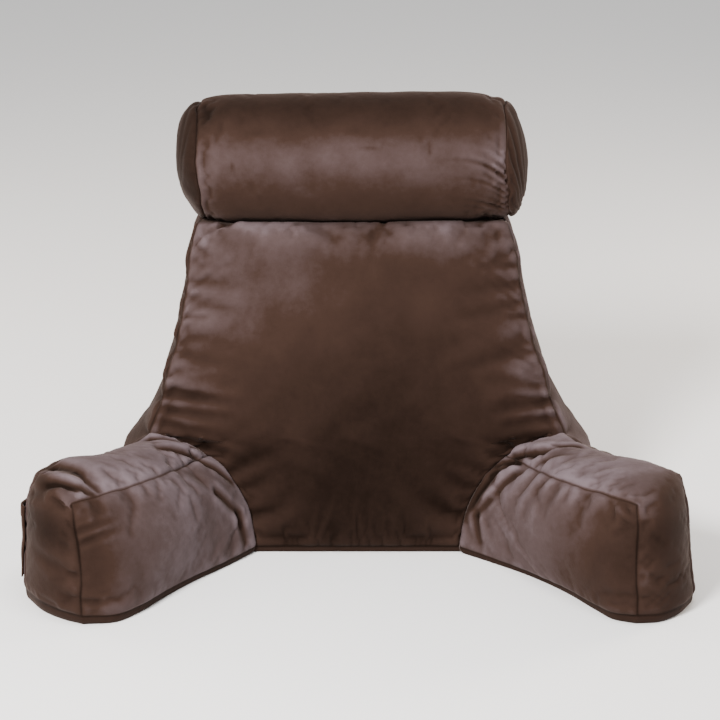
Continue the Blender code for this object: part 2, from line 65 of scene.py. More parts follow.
# Driving dimensions of the arms
ARM_SPLAY = math.radians(45.6)  # between an arm and straight ahead
ARM_ROOT = (0.204, FRONT_FOOT)  # the point that an arm's own measures start from
INNER_CROWN = 0.008
OUTER_CROWN = 0.014
STRIP_CROWN = 0.010

# Driving dimensions of the neck roll
ROLL_RADIUS = 0.074
ROLL_SEAM_HALF_SPACING = 0.1805  # from the roll's middle to each end seam
ROLL_SEAM_SHARE = 0.90  # the end seams draw the barrel in to this share
ROLL_SEAM_SAG = 0.003  # the ends hang this far below the barrel's axis
ROLL_SWELL_POWER = 8  # how late the barrel narrows and sags towards its end seams
ROLL_CAP_DEPTH = 0.029
ROLL_MIDDLE_SAG = 0.003  # its underside hangs this much lower in its middle
ROLL_SEAM_SLANT = 0.0075  # the lower part of its end seams strays this far to the right
SLANT_POWER = 1.5  # higher values keep this to the lowest part
SLANT_FADE = 5  # how soon this fades out towards the middle of an end panel
ROLL_SEAM_WAVER = 0.0022
ROLL_SEAM_WAVES = 23  # round one end
RIGHT_CAP_SAG = -0.010  # the middle of the right end panel hangs this much lower
LEFT_CAP_SAG = 0.009  # and that of the left one stands this much higher
ROLL_DOME_POWER = 0.68  # how pointed its end panels are
ROLL_DIMPLE = 0.006  # how deep their gathered centres are drawn in
DIMPLE_RADIUS = 0.016
ROLL_CENTRE = np.array((-0.006, 0.025, 0.456))
ROLL_TILT = math.radians(0.35)  # its right end lies a little higher
ROLL_FLAT = 0.071  # from the axis down to its pressed, flat underside
ROLL_ROOM = 0.12  # slope of the room beside that flat underside
ROLL_REACH = 0.078  # the blown-up roll stays within this radius
CAP_CENTRE = 0.03  # share of a cap's radius that is left to its gathered centre
CLOSING_SEAM = math.radians(-50.0)  # the barrel is closed low on its rear side

# The pocket, as shares of the left arm's outer panel
POCKET_ALONG = (0.273, 0.985)
POCKET_UP = (0.10, 0.70)
POCKET_THICKNESS = 0.0022
POCKET_PASSES = 30  # how smoothly the patch bridges the arm's folds
POCKET_REACH = 5  # in cells, how far about it a bump of the arm lifts the patch
POCKET_SEAT = 0.0005  # the patch's gap to the arm
POCKET_MOUTH_GAP = 0.0035  # the hem stands off the arm by this much more
POCKET_MOUTH_SHARPNESS = 0.25  # lower values open the mouth more evenly along the hem
POCKET_MOUTH_RISE = 2.5  # how late, going up, the patch leaves the arm
HEM_DEPTH = 0.014
HEM_RISE = 0.0007  # the hem's folded layer stands this far proud
STITCH_INSET = 0.0035  # from the patch's sewn edges
STITCH_DEPTH = 0.0007
STITCH_WIDTH = 0.0012

CLEARANCE = 0.0003  # between pieces that touch

# Number of cells of the simulated cloth along each kind of seam
CURVE_SAMPLES = 40  # fine steps per point when a seam is drawn through its points
CELLS_FRONT = 80  # across the front, the top and the rear
CELLS_DEPTH = 34  # across the back's sides
CELLS_SIDE = 43  # up the side seam, above the arms
CELLS_JOINT = (20, 13)  # up and across the joint between the back and an arm
CELLS_ARM_HEIGHT = 24
CELLS_ARM_WIDTH = 16
CELLS_ARM_LENGTH = 44
CELLS_ROUND = 96  # round the neck roll
CELLS_BARREL = 72
CELLS_CAP = 16
BASE_RINGS = 6
BASE_TURN = 0.045  # share of the base's outline that turns under

NEARLY_NOTHING = 1e-12  # keeps a division by a length from failing where the length is nothing
LEAST_SIDE = 1e-9  # the same, for the length of a panel's side
WELD_DECIMALS = 7  # points of neighbouring panels that agree this far are one
NOISE_TILE = 61  # cells after which the random values repeat

# Cloth simulation
CLOTH_FRAMES = 20
CLOTH_SETTINGS = {
    "quality": 3,
    "mass": 0.3,
    "tension_stiffness": 15.0,
    "compression_stiffness": 15.0,
    "shear_stiffness": 5.0,
    "bending_stiffness": 0.2,
    "use_pressure": True,
}
SLACK_REACH = 0.030  # how far from a seam the cloth is gathered
PANEL_SLACK = 0.004  # the share by which a panel's middle is cut too large

# Creases, puckers and seams
RIDGE_OFFSET = 1.7  # from a trough to the ridge beside it, in trough widths
CREASE_FADE = 0.75  # a crease loses this share of its depth on its way
SHADING_STROKE_FADE = 0.3  # and a line of painted shade or highlight loses this share of its tone on its way
GATHER_EASE = 0.04  # share of a side over which a row of puckers starts and stops
GATHER_WANDER = 3  # in pitches, how far on the puckers' straying changes
GATHER_CHANGE = 1.7  # in pitches, how far on their depth changes
GATHER_UNLIKE = 0.6  # the share by which their lengths differ
GATHER_SHARPNESS = 1.5  # higher values make the puckers narrower
GATHER_FADE = 1.3  # and higher ones here end them more sharply
SEAM_PUFF = 0.0020  # the cloth stands this far proud beside a seam
SEAM_RADIUS = 0.0025
SEAM_WAVER = 0.0014  # a gathered seam strays this far off its line
SEAM_WAVE = 0.021
FOLD_ROUNDING = 0.022
FOLD_FULLNESS = 0.5
UNEVENNESS = ((0.070, 0.0012), (0.028, 0.0005))
MOTTLING = ((0.060, 0.035), (0.022, 0.035))
FOLD_PASSES = 36  # how widely a fold is compared with the cloth about it
FOLD_SHADING = 75.0  # painted highlight and shade: the pile is painted this much lighter for each metre that it stands proud of the cloth about it, and darker where it sinks into a trough
FOLD_SHADING_MOST = 0.42
BASE_TONE = 0.28  # of the base, where 0 is the darkest painted pile and 1 the lightest

ALL_SIDES = ("left", "right", "low", "high")

AHEAD = np.array((0.0, -1.0, 0.0))
RIGHTWARD = np.array((1.0, 0.0, 0.0))
UPWARD = np.array((0.0, 0.0, 1.0))
LIPWARD = np.array((0.0, -0.85, 0.53))
INWARD = np.array((-math.cos(ARM_SPLAY), -math.sin(ARM_SPLAY), 0.0))
ENDWARD = np.array((math.sin(ARM_SPLAY), -math.cos(ARM_SPLAY), 0.0))

PlanePoint = namedtuple("PlanePoint", "x z")
SpacePoint = namedtuple("SpacePoint", "x y z")
ArmPoint = namedtuple("ArmPoint", "along across z")
Swell = namedtuple("Swell", "z out")
Crease = namedtuple("Crease", "u_from v_from u_to v_to width depth ridge")
Gather = namedtuple("Gather", "panel side start stop pitch length depth slant")
Brush = namedtuple("Brush", "u v u_reach v_reach tone")
ShadingStroke = namedtuple("ShadingStroke", "u_from v_from u_to v_to width tone")
Light = namedtuple("Light", "name place size watts colour")

# How far each cushion is blown up: pressure, slack along the seams, and the most that it moves
BACK_FULLNESS, BACK_SLACK, BACK_CAP = 4.0, 0.06, 0.008
ARM_FULLNESS, ARM_SLACK, ARM_CAP = 4.0, 0.038, 0.007
ROLL_FULLNESS, ROLL_SLACK, ROLL_CAP = 4.0, 0.025, 0.0035
BACK_DETAIL = 2  # cells of the finished cloth for each simulated one
ARM_DETAIL = 3
ROLL_DETAIL = 2

# Velvet: scales in cells for each metre, tones as shares of the way from dark to light
CRUSH_NOISE = (22.0, 5.0, 0.6)  # scale, detail and roughness
FLECK_NOISE = (130.0, 3.0, 0.55)
FIBRE_NOISE = (1400.0, 2.0, 0.55)
CRUSH_TONE = 0.20
FLECK_TONE = 0.14
FIBRE_TONE = 0.10
# Seams are painted darker, partly as painted shadow in their grooves and partly as crushed pile
SEAM_SHADE_TONE = 0.28
FIBRE_RELIEF = 0.3
FLECK_RELIEF = 1.0
BUMP_STRENGTH = 0.35
BUMP_DISTANCE = 0.0012
# From dark brown to a pinkish grey at the light end, which is painted sheen where the pile is painted
# light
PILE_AND_SHEEN_COLOURS = (
    (0.0, (0.0055, 0.0020, 0.0007)),
    (0.5, (0.0260, 0.0134, 0.0094)),
    (0.75, (0.0535, 0.0360, 0.0350)),
    (1.0, (0.1110, 0.0850, 0.0930)),
)
VELVET_SHADER = {
    "Roughness": 0.85,
    "Specular IOR Level": 0.08,
    "Sheen Weight": 0.08,
    "Sheen Roughness": 0.35,
    "Sheen Tint": (0.9, 0.72, 0.66, 1.0),
}
PLAIN_TINT = (1.0, 1.0, 1.0)
# The pocket's copy of the velvet is painted warmer and a little lighter, and its rim lighter still, as
# painted warm light on the pocket's side and edge
POCKET_WARM_LIGHT_TINT = (1.06, 1.0, 0.95)
POCKET_TONE = 0.54
RIM_HIGHLIGHT_TONE = 0.72

# Seeds of the random values
BACK_SEED = 11
RIGHT_ARM_SEED = 21
LEFT_ARM_SEED = 31
ROLL_SEED = 41
POCKET_SEED = 51
ARM_SEAM_SEED = 61
ROLL_SEAM_SEED = 81
ROW_SEED = 100  # added for each row of puckers
PANEL_SEED = 10  # for each panel
UNEVENNESS_SEED = 3
MOTTLING_SEED = 40

# Camera and studio
CAMERA_PLACE = (0.0036, -2.873, 1.144)
CAMERA_PITCH = math.radians(18.0)
CAMERA_LENS = 125.0
CAMERA_SENSOR = 36.0
FLOOR_REACH = 12.0
FLOOR_COLOUR = (0.93, 0.93, 0.93, 1.0)
FLOOR_ROUGHNESS = 0.9
LIGHT_TARGET = (0.0, -0.05, 0.22)
WORLD_COLOUR = (1.0, 0.99, 0.98, 1.0)
WORLD_STRENGTH = 0.68
STUDIO_LIGHTS = [
    Light("key", (-1.1, -2.2, 1.9), 0.7, 195.0, (1.0, 0.97, 0.95)),
    Light("top", (0.3, -0.7, 2.4), 1.0, 28.0, (1.0, 0.98, 0.97)),
    Light("rim_right", (1.9, 0.9, 0.9), 0.9, 34.0, (1.0, 0.84, 0.68)),
    Light("rim_left", (-1.9, 0.9, 0.9), 0.9, 17.0, (1.0, 0.84, 0.68)),
]


def records(kind, *rows):
    """Records of a kind, from rows of names and of numbers that are given in thousandths."""
    return [kind(*(cell if isinstance(cell, str) else cell / 1000 for cell in row)) for row in rows]


def grouped(kind, **groups):
    """Records of a kind for each of several named panels or seams."""
    return {name: records(kind, *rows) for name, rows in groups.items()}


# All the tables of points, creases, puckers and painted spots and lines of light and shade below are
# in thousandths: millimetres, and thousandths of a panel's length or height.

# Where an arm joins the front panel, from its inner foot up and out to the side seam
JOINT_ARC_LOWER = records(
    PlanePoint, (122, BASE_SEAM), (125, 24), (130, 49), (141, 73), (156, 94), (178, 114),
)
JOINT_ARC_UPPER = records(PlanePoint, (178, 114), (193, 123), (213, 130), (234, 136), (248, 140))
JOINT_OUTER = records(PlanePoint, (285, BASE_SEAM), (281, 40), (270, 85), (248, 140))
SIDE_SEAM = records(
    PlanePoint, (248, 140), (232, 180), (223, 215), (214, 240), (205, 278), (198, 312), (193, 350),
    (186, 374), (181, TOP_SEAM),
)
REAR_SEAM = records(SpacePoint, (246, 94, BASE_SEAM), (236, 102, 140), (200, 108, 270), (178, 104, 384))
GUSSET_TOP = [
    SpacePoint(0.181, FRONT_FOOT + TOP_SEAM_HEIGHT * math.tan(LEAN), TOP_SEAM_HEIGHT),
    *records(SpacePoint, (181, 25, 379), (181, 50, 381), (180, 75, 387), (178, 104, 384)),
]
# How far the side strip swells out between its front and rear seams, by height
GUSSET_SWELL = records(
    Swell, (BASE_SEAM, 26), (60, 30), (110, 25), (140, 6), (180, -3), (240, -4), (300, -3), (360, -1),
    (TOP_SEAM, 0),
)
SIDE_FULLNESS = 0.6
PANEL_FULLNESS = 0.8
OUTER_FULLNESS = 0.45
FRONT_FULLNESS = 0.7

# Seams of each arm, in the arm's own measures: out from the front panel, across towards the
# reader's side, and up. The two differ, because the filling has settled differently.
RIGHT_ARM = grouped(
    ArmPoint,
    inner_foot=[(-20, 54, 7), (44, 53, 6), (113, 62, 7), (170, 77, 8), (200, 83, 10), (225, 74, 12)],
    outer_foot=[(131, -50, 9), (200, -38, 11), (235, -14, 12)],
    inner_top=[
        (-2, 14, 119), (29, 27, 123), (73, 48, 129), (105, 57, 133), (160, 64, 138), (217, 71, 141),
    ],
    outer_top=[(24, -44, 141), (65, -34, 141), (109, -28, 142), (163, -28, 147), (204, -22, 149)],
    end_inner=[(225, 74, 12), (225, 78, 67), (222, 75, 108), (217, 71, 141)],
    end_outer=[(235, -14, 12), (224, -16.5, 60), (216, -18.5, 110), (204, -22, 149)],
    end_foot=[(225, 74, 12), (241, 53, 12), (244, 22, 12), (235, -14, 12)],
)
LEFT_ARM = grouped(
    ArmPoint,
    inner_foot=[(-22, 64, 8), (62, 76, 8), (105, 86, 9), (154, 99, 10), (190, 102, 11), (222, 80, 12)],
    outer_foot=[(131, -50, 9), (190, -36, 12), (222, -22, 14)],
    inner_top=[
        (-2, 14, 119), (29, 27, 124), (73, 46, 130), (105, 55, 134), (160, 60, 138), (215, 60, 139),
    ],
    outer_top=[(24, -44, 141), (65, -34, 142), (108, -29, 143), (150, -30, 150), (198, -20, 150)],
    end_inner=[(222, 80, 12), (222, 81, 55), (221, 76, 100), (215, 60, 139)],
    end_outer=[(222, -22, 14), (216, -22.5, 70), (210, -21.5, 120), (198, -20, 150)],
    end_foot=[(222, 80, 12), (229, 57, 13), (232, 22, 14), (222, -22, 14)],
)

# Creases, from where each leaves a seam to where it fades out, as shares of its panel's length
# and height. A ridge stands beside each trough. An arm's strip runs over its top, then down its end.
BACK_CREASES = grouped(
    Crease,
    front=[
        (80, 1000, 130, 965, 6, 5, 500), (70, 980, 210, 910, 10, 4, 300), (0, 545, 200, 525, 7, 4.5, 600),
        (0, 500, 190, 490, 7, 5, 600), (10, 470, 140, 440, 6, 4.5, 600), (60, 390, 110, 250, 7, 3.5, 500),
        (1000, 565, 860, 590, 7, 3.5, 600), (1000, 525, 850, 510, 7, 4.5, 600),
        (1000, 480, 870, 465, 6, 4, 600), (1000, 750, 900, 745, 9, 2.5, 500),
        (1000, 960, 870, 955, 8, 3.5, 600), (1000, 925, 900, 915, 7, 3.5, 600),
        (1000, 890, 910, 885, 7, 2.5, 600), (940, 1000, 840, 950, 9, 3.5, 400),
    ],
)
RIGHT_CREASES = grouped(
    Crease,
    strip=[
        (30, 0, 145, 320, 7.5, 10, 300), (120, 250, 195, 820, 6.5, 8, 400),
        (175, 100, 260, 460, 6, 2, 400), (270, 20, 330, 620, 9, 2.5, 500),
        (400, 20, 460, 500, 9, 1.8, 500),
    ],
    inner=[
        (120, 1000, 0, 820, 6, 8, 300), (155, 975, 45, 750, 4.5, 6, 500),
        (60, 760, 15, 320, 10, 8.5, 300), (135, 530, 85, 340, 5, 3.5, 500),
        (80, 360, 115, 100, 5, 5, 500), (200, 880, 150, 580, 4.5, 4, 500),
        (200, 980, 150, 450, 8, 2.8, 500), (330, 980, 290, 500, 9, 2.8, 500),
        (430, 980, 390, 550, 8, 1.8, 500), (540, 980, 490, 550, 9, 2.6, 500),
        (730, 980, 660, 580, 10, 2.4, 400), (900, 1000, 1000, 880, 4, 3.5, 700),
        (1000, 200, 880, 190, 5, 1.6, 500), (1000, 110, 900, 100, 5, 1.2, 500),
    ],
)
LEFT_CREASES = grouped(
    Crease,
    strip=[
        (640, 440, 568, 20, 6, 5.8, 700), (580, 860, 540, 40, 11, 7.2, 200),
        (690, 750, 668, 300, 6, 3, 500), (85, 860, 25, 200, 6, 5, 400), (65, 20, 175, 480, 6, 7, 400),
        (870, 20, 840, 600, 8, 3.5, 400),
    ],
    inner=[
        (115, 1000, 40, 650, 6, 6.5, 400), (185, 640, 90, 350, 6, 4.5, 500),
        (90, 380, 80, 80, 6, 4.5, 500), (300, 980, 220, 750, 7, 2.2, 500),
        (420, 980, 360, 780, 7, 1.6, 500), (1000, 750, 840, 770, 4, 3.2, 600),
        (1000, 660, 820, 690, 4, 3, 600), (1000, 140, 840, 120, 4, 2.6, 600),
    ],
)

# Rows of small puckers along a panel's side
BACK_GATHERS = records(
    Gather, ("front", "high", 20, 980, 19, 30, 4.2, 300), ("front", "right", 500, 990, 17, 34, 3, -100),
    ("front", "left", 500, 990, 20, 30, 2.4, 100), ("front", "left", 20, 500, 18, 20, 0.8, 200),
    ("front", "right", 20, 500, 18, 20, 0.8, -200), ("right side", "low", 100, 990, 20, 22, 1.4, 0),
    ("left side", "low", 100, 990, 18, 22, 1.4, 0), ("right side", "high", 50, 990, 20, 22, 1.4, 0),
    ("left side", "high", 50, 990, 22, 22, 1.4, 0), ("rear", "high", 20, 980, 20, 30, 1.4, 100),
    ("rear", "left", 50, 980, 21, 30, 1.4, 100), ("rear", "right", 50, 980, 23, 30, 1.4, 100),
    ("top", "low", 20, 980, 17, 16, 1.4, 100), ("top", "high", 20, 980, 20, 16, 1.4, 100),
)
RIGHT_GATHERS = records(
    Gather, ("inner", "high", 120, 970, 20, 34, 1.2, 500), ("inner", "right", 40, 960, 13, 16, 0.9, 100),
    ("inner", "left", 60, 960, 17, 20, 1, 300), ("strip", "low", 20, 660, 18, 20, 0.9, 200),
    ("strip", "low", 720, 980, 16, 14, 0.7, 100), ("strip", "high", 40, 980, 18, 20, 1, 200),
    ("outer", "high", 40, 980, 18, 24, 1.2, 300), ("outer", "right", 40, 980, 15, 16, 1, 100),
)
LEFT_GATHERS = records(
    Gather, ("inner", "high", 120, 970, 15, 18, 0.9, 600), ("inner", "right", 40, 960, 14, 18, 1, 100),
    ("inner", "left", 60, 960, 16, 18, 0.9, 300), ("strip", "low", 40, 600, 17, 16, 0.7, 200),
    ("strip", "low", 720, 980, 17, 16, 0.9, 100), ("strip", "high", 40, 980, 18, 20, 1, 200),
    ("outer", "high", 40, 980, 18, 24, 1.2, 300), ("outer", "right", 40, 980, 15, 16, 1, 100),
)
ROLL_GATHERS = records(
    Gather, ("barrel", "right", 540, 780, 11, 24, 8.5, 0), ("barrel", "right", 20, 520, 15, 18, 2.6, 0),
    ("barrel", "right", 740, 980, 15, 18, 2.6, 0), ("barrel", "left", 20, 980, 17, 14, 1.8, 0),
    ("right cap", "left", 20, 980, 34, 26, 3.4, 0), ("left cap", "left", 20, 980, 34, 22, 1, 0),
)

# How light each panel and spot is painted, from 0, the darkest, to 1, the lightest: partly the way the
# pile lies, and partly painted light and shade, lighter where a panel faces the lamps, as the arms' top
# strips and the back's right side, and darker where it faces away or lies in shade
BACK_PILE_AND_LIGHT_TONES = {"front": 0.42, "rear": 0.40, "top": 0.35, "right side": 0.66, "left side": 0.30}
ARM_PILE_AND_LIGHT_TONES = {"inner": 0.72, "outer": 0.50, "strip": 0.84}
# The neck roll's end panels are painted dark, the left one darkest, as painted shade
ROLL_PILE_AND_LIGHT_TONES = {"barrel": 0.42, "right cap": 0.22, "left cap": 0.02}
# Painted light and shade on the front: lighter at its upper corners and side edges, darker just under the
# neck roll, in its middle and towards its foot
BACK_SHADING_SPOTS = grouped(
    Brush,
    front=[
        (300, 860, 300, 200, 170), (500, 1000, 600, 60, -140), (800, 920, 180, 100, 120),
        (580, 500, 300, 300, -180), (500, 0, 600, 450, -400), (50, 740, 150, 250, 150),
        (970, 580, 80, 140, 240),
    ],
)
# Painted shade on the arms: darker over the end of each strip, towards the ends of the inner panels, and
# in patches on the strips' tops where their folds face down; the left inner panel is painted a little
# lighter in its middle
RIGHT_SHADING_SPOTS = grouped(
    Brush,
    strip=[
        (580, 180, 70, 500, -200), (200, 420, 50, 300, -200), (750, 500, 100, 1600, -560),
        (970, 500, 170, 1600, -540),
    ],
    inner=[(1000, 200, 400, 800, -380), (1000, 800, 130, 600, -300), (0, 400, 120, 600, -160)],
)
LEFT_SHADING_SPOTS = grouped(
    Brush,
    strip=[(650, 420, 35, 350, -420), (740, 500, 95, 1600, -640), (970, 500, 170, 1600, -600)],
    inner=[(1000, 300, 260, 1000, -300), (1000, 550, 120, 450, -220), (500, 500, 250, 600, 80)],
)

# Narrow lines of painted shade in the troughs of the deepest creases and beside the front's joints with
# the arms, and one of painted highlight on a ridge, from one place on a panel to another, in the measures
# of the painted spots of light and shade
BACK_SHADING_STROKES = grouped(
    ShadingStroke,
    front=[(900, 360, 990, 450, 8, -250), (70, 330, 20, 420, 8, -150)],
)
RIGHT_SHADING_STROKES = grouped(
    ShadingStroke,
    strip=[
        (40, 0, 145, 320, 6.5, -750), (130, 280, 185, 800, 4, -650), (186, 140, 255, 440, 3, -200),
        (660, 400, 640, 950, 14, -300),
    ],
    inner=[
        (120, 1000, 0, 820, 5, -700), (152, 972, 45, 750, 3.5, -700), (60, 750, 15, 300, 9, -600),
        (129, 520, 83, 340, 3.5, -250), (83, 340, 114, 120, 4, -300), (190, 850, 150, 600, 3, -300),
    ],
)
LEFT_SHADING_STROKES = grouped(
    ShadingStroke,
    strip=[
        (578, 900, 552, 450, 9, -620), (552, 450, 540, 60, 4.5, -420), (640, 420, 570, 30, 4, -650),
        (620, 720, 556, 60, 2.8, 120), (655, 900, 650, 500, 6, -350), (80, 840, 20, 150, 4, -550),
        (65, 20, 170, 460, 4.5, -550),
    ],
    inner=[(115, 1000, 45, 660, 5, -500), (180, 620, 91, 360, 4, -300), (91, 360, 80, 100, 5, -350)],
)
# Painted light and shade on the barrel: a painted highlight in a band round its front, and painted shade
# over its top and at its left end; the smallest spots are crushed marks of the pile
ROLL_SHADING_AND_CRUSH_SPOTS = grouped(
    Brush,
    barrel=[
        (500, 600, 900, 60, 230), (500, 450, 1500, 85, -280), (515, 535, 30, 12, -120),
        (555, 580, 25, 4, -140), (750, 585, 6, 10, -120), (120, 620, 6, 10, -140),
        (200, 540, 40, 10, -100), (0, 500, 60, 90, -220),
    ],
)


def travelled(points):
    """The distance travelled at each point of a curve, or down each column of a grid."""
    steps = np.linalg.norm(np.diff(points, axis=0), axis=-1)
    return np.concatenate([np.zeros_like(steps[:1]), np.cumsum(steps, axis=0)])


def smooth_curve(points, cells):
    """A smooth curve through the points, sampled evenly in the given number of cells."""
    points = np.asarray(points, float)
    knots = travelled(points)
    slopes = np.gradient(points, knots, axis=0)
    places = np.linspace(0.0, knots[-1], CURVE_SAMPLES * len(points))
    span = np.clip(np.searchsorted(knots, places, side="right") - 1, 0, len(points) - 2)
    step = (knots[span + 1] - knots[span])[:, None]
    t = (places - knots[span])[:, None] / step
    dense = (
        (2 * t**3 - 3 * t**2 + 1) * points[span]
        + (t**3 - 2 * t**2 + t) * step * slopes[span]
        + (3 * t**2 - 2 * t**3) * points[span + 1]
        + (t**3 - t**2) * step * slopes[span + 1]
    )
    place = travelled(dense)
    evenly = np.linspace(0.0, place[-1], cells + 1)
    return np.stack([np.interp(evenly, place, dense[:, axis]) for axis in range(3)], axis=1)


def wavering(curve, direction, seed):
    """A seam that strays from its line to either side, but not at its ends."""
    place = travelled(curve)
    window = np.clip(np.minimum(place, place[-1] - place) / SEAM_WAVE, 0.0, 1.0)
    stray = SEAM_WAVER * window * soft_noise(seed, place / SEAM_WAVE)
    return curve + stray[:, None] * direction


def joined(*curves):
    """Curves that follow each other end to end, as one."""
    return np.concatenate([curves[0]] + [curve[1:] for curve in curves[1:]])


def mirrored(points):
    return np.asarray(points) * (-1.0, 1.0, 1.0)


def front_plane(point, out=0.0):
    """The place on the leaning front plane at a point's x and z, or a distance out from it."""
    y = FRONT_FOOT + point.z * math.tan(LEAN) - out * math.cos(LEAN)
    return (point.x, y, point.z + out * math.sin(LEAN))


def arm_place(point):
    """The place of a point that is given along and across the right arm."""
    x = ARM_ROOT[0] + point.along * math.sin(ARM_SPLAY) - point.across * math.cos(ARM_SPLAY)
    y = ARM_ROOT[1] - point.along * math.cos(ARM_SPLAY) - point.across * math.sin(ARM_SPLAY)
    return (x, y, point.z)


def coons_patch(low, high, left, right):
    """A panel's grid between four seams: low and high run along it, left and right across."""
    u = np.linspace(0.0, 1.0, len(low))[:, None, None]
    v = np.linspace(0.0, 1.0, len(left))[None, :, None]
    between_low_high = (1 - v) * low[:, None] + v * high[:, None]
    between_left_right = (1 - u) * left[None] + u * right[None]
    low_corners = (1 - v) * ((1 - u) * low[0] + u * low[-1])
    high_corners = v * ((1 - u) * high[0] + u * high[-1])
    grid = between_low_high + between_left_right - low_corners - high_corners
    grid[:, 0], grid[:, -1] = low, high
    grid[0], grid[-1] = left, right
    return grid


def normals_of(grid, outward, closed=False):
    """Unit normals at a grid's points, on the side that the outward directions show."""
    if closed:
        grid = np.concatenate([grid[:, -2:-1], grid, grid[:, 1:2]], axis=1)
    normals = np.cross(np.gradient(grid, axis=0), np.gradient(grid, axis=1))
    if closed:
        normals = normals[:, 1:-1]
    normals /= np.linalg.norm(normals, axis=2, keepdims=True) + NEARLY_NOTHING
    return normals if (normals * outward).sum() > 0 else -normals


def shares_of(grid):
    """The share of a grid's length at each of its rows, and of its height at each column."""
    rows, columns = grid.shape[:2]
    return np.linspace(0.0, 1.0, rows)[:, None], np.linspace(0.0, 1.0, columns)[None, :]


def swell_of(grid, fullness):
    """1 in the middle of a grid and 0 along its sides."""
    u, v = shares_of(grid)
    return ((16 * u * (1 - u) * v * (1 - v)) ** fullness)[..., None]


def crowned(grid, height, outward, fullness=PANEL_FULLNESS):
    """The panel pushed out by its filling, most in the middle and not at all at its seams."""
    return grid + height * swell_of(grid, fullness) * normals_of(grid, outward)


def place_on(grid, u, v):
    """The point of a grid at a share of its length and height."""
    row = u * (grid.shape[0] - 1)
    column = v * (grid.shape[1] - 1)
    i = min(int(row), grid.shape[0] - 2)
    j = min(int(column), grid.shape[1] - 2)
    low = grid[i, j] * (i + 1 - row) + grid[i + 1, j] * (row - i)
    high = grid[i, j + 1] * (i + 1 - row) + grid[i + 1, j + 1] * (row - i)
    return low * (j + 1 - column) + high * (column - j)


def resampled(values, rows, columns):
    """A grid of values, such as the simulation's moves, at another number of rows and columns."""
    for axis, count in ((0, rows), (1, columns)):
        rows_first = np.moveaxis(values, axis, 0)
        old_count = rows_first.shape[0]
        place = np.linspace(0.0, old_count - 1.0, count)
        base = np.clip(place.astype(int), 0, old_count - 2)
        t = (place - base).reshape((-1,) + (1,) * (rows_first.ndim - 1))
        before = rows_first[np.clip(base - 1, 0, old_count - 1)]
        here, following = rows_first[base], rows_first[base + 1]
        after = rows_first[np.clip(base + 2, 0, old_count - 1)]
        between = here + 0.5 * t * (
            following - before
            + t * (2 * before - 5 * here + 4 * following - after)
            + t * t * (3 * (here - following) + after - before)
        )
        values = np.moveaxis(between, 0, axis)
    return values


def distances(grid):
    """How far each point of a grid lies from each of its sides, along the grid."""
    along = travelled(grid)
    across = travelled(grid.swapaxes(0, 1)).T
    return {"left": along, "right": along[-1:] - along, "low": across, "high": across[:, -1:] - across}


def soft_noise(seed, x, y=0.0):
    """Smooth random values from -1 to 1, over coordinates given in cells of the noise."""
    table = np.random.default_rng(seed).uniform(-1.0, 1.0, (NOISE_TILE, NOISE_TILE))
    x, y = np.broadcast_arrays(x, y)
    i, j = np.floor(x).astype(int), np.floor(y).astype(int)
    s, t = x - i, y - j
    s, t = s * s * (3 - 2 * s), t * t * (3 - 2 * t)
    i0, i1, j0, j1 = i % NOISE_TILE, (i + 1) % NOISE_TILE, j % NOISE_TILE, (j + 1) % NOISE_TILE
    near = table[i0, j0] * (1 - s) + table[i1, j0] * s
    far = table[i0, j1] * (1 - s) + table[i1, j1] * s
    return near * (1 - t) + far * t


class Panel:
    """One cut piece of cloth: its grid, its outward side, its seams, and whether it is hidden.

    Along the gathered ones of its seams, the simulated cloth has length to spare.
    A closed panel goes all the way round, so that its last column is its first one.
    """

    def __init__(self, grid, outward, seams=ALL_SIDES, gathered=ALL_SIDES, closed=False, hidden=False):
        self.grid = grid
        self.outward = np.asarray(outward, float)
        self.seams = seams
        self.gathered = gathered
        self.closed = closed
        self.hidden = hidden
        self.tone = np.full(grid.shape[:2], BASE_TONE)

    def normals(self):
        return normals_of(self.grid, self.outward, self.closed)

    def seam_mask(self):
        """1 at the points that lie on a seam, and 0 elsewhere."""
        mask = np.zeros(self.grid.shape[:2])
        borders = {"left": mask[0], "right": mask[-1], "low": mask[:, 0], "high": mask[:, -1]}
        for side in self.seams:
            borders[side][:] = 1.0
        return mask

    def from_seam(self, gathered=False):
        """How far each point lies from the nearest seam, or from the nearest gathered one."""
        reach = distances(self.grid)
        sides = [side for side in self.seams if side in self.gathered or not gathered]
        return np.minimum.reduce([reach[side] for side in sides])

    def flip(self):
        self.grid = mirrored(self.grid)
        self.outward = mirrored(self.outward)


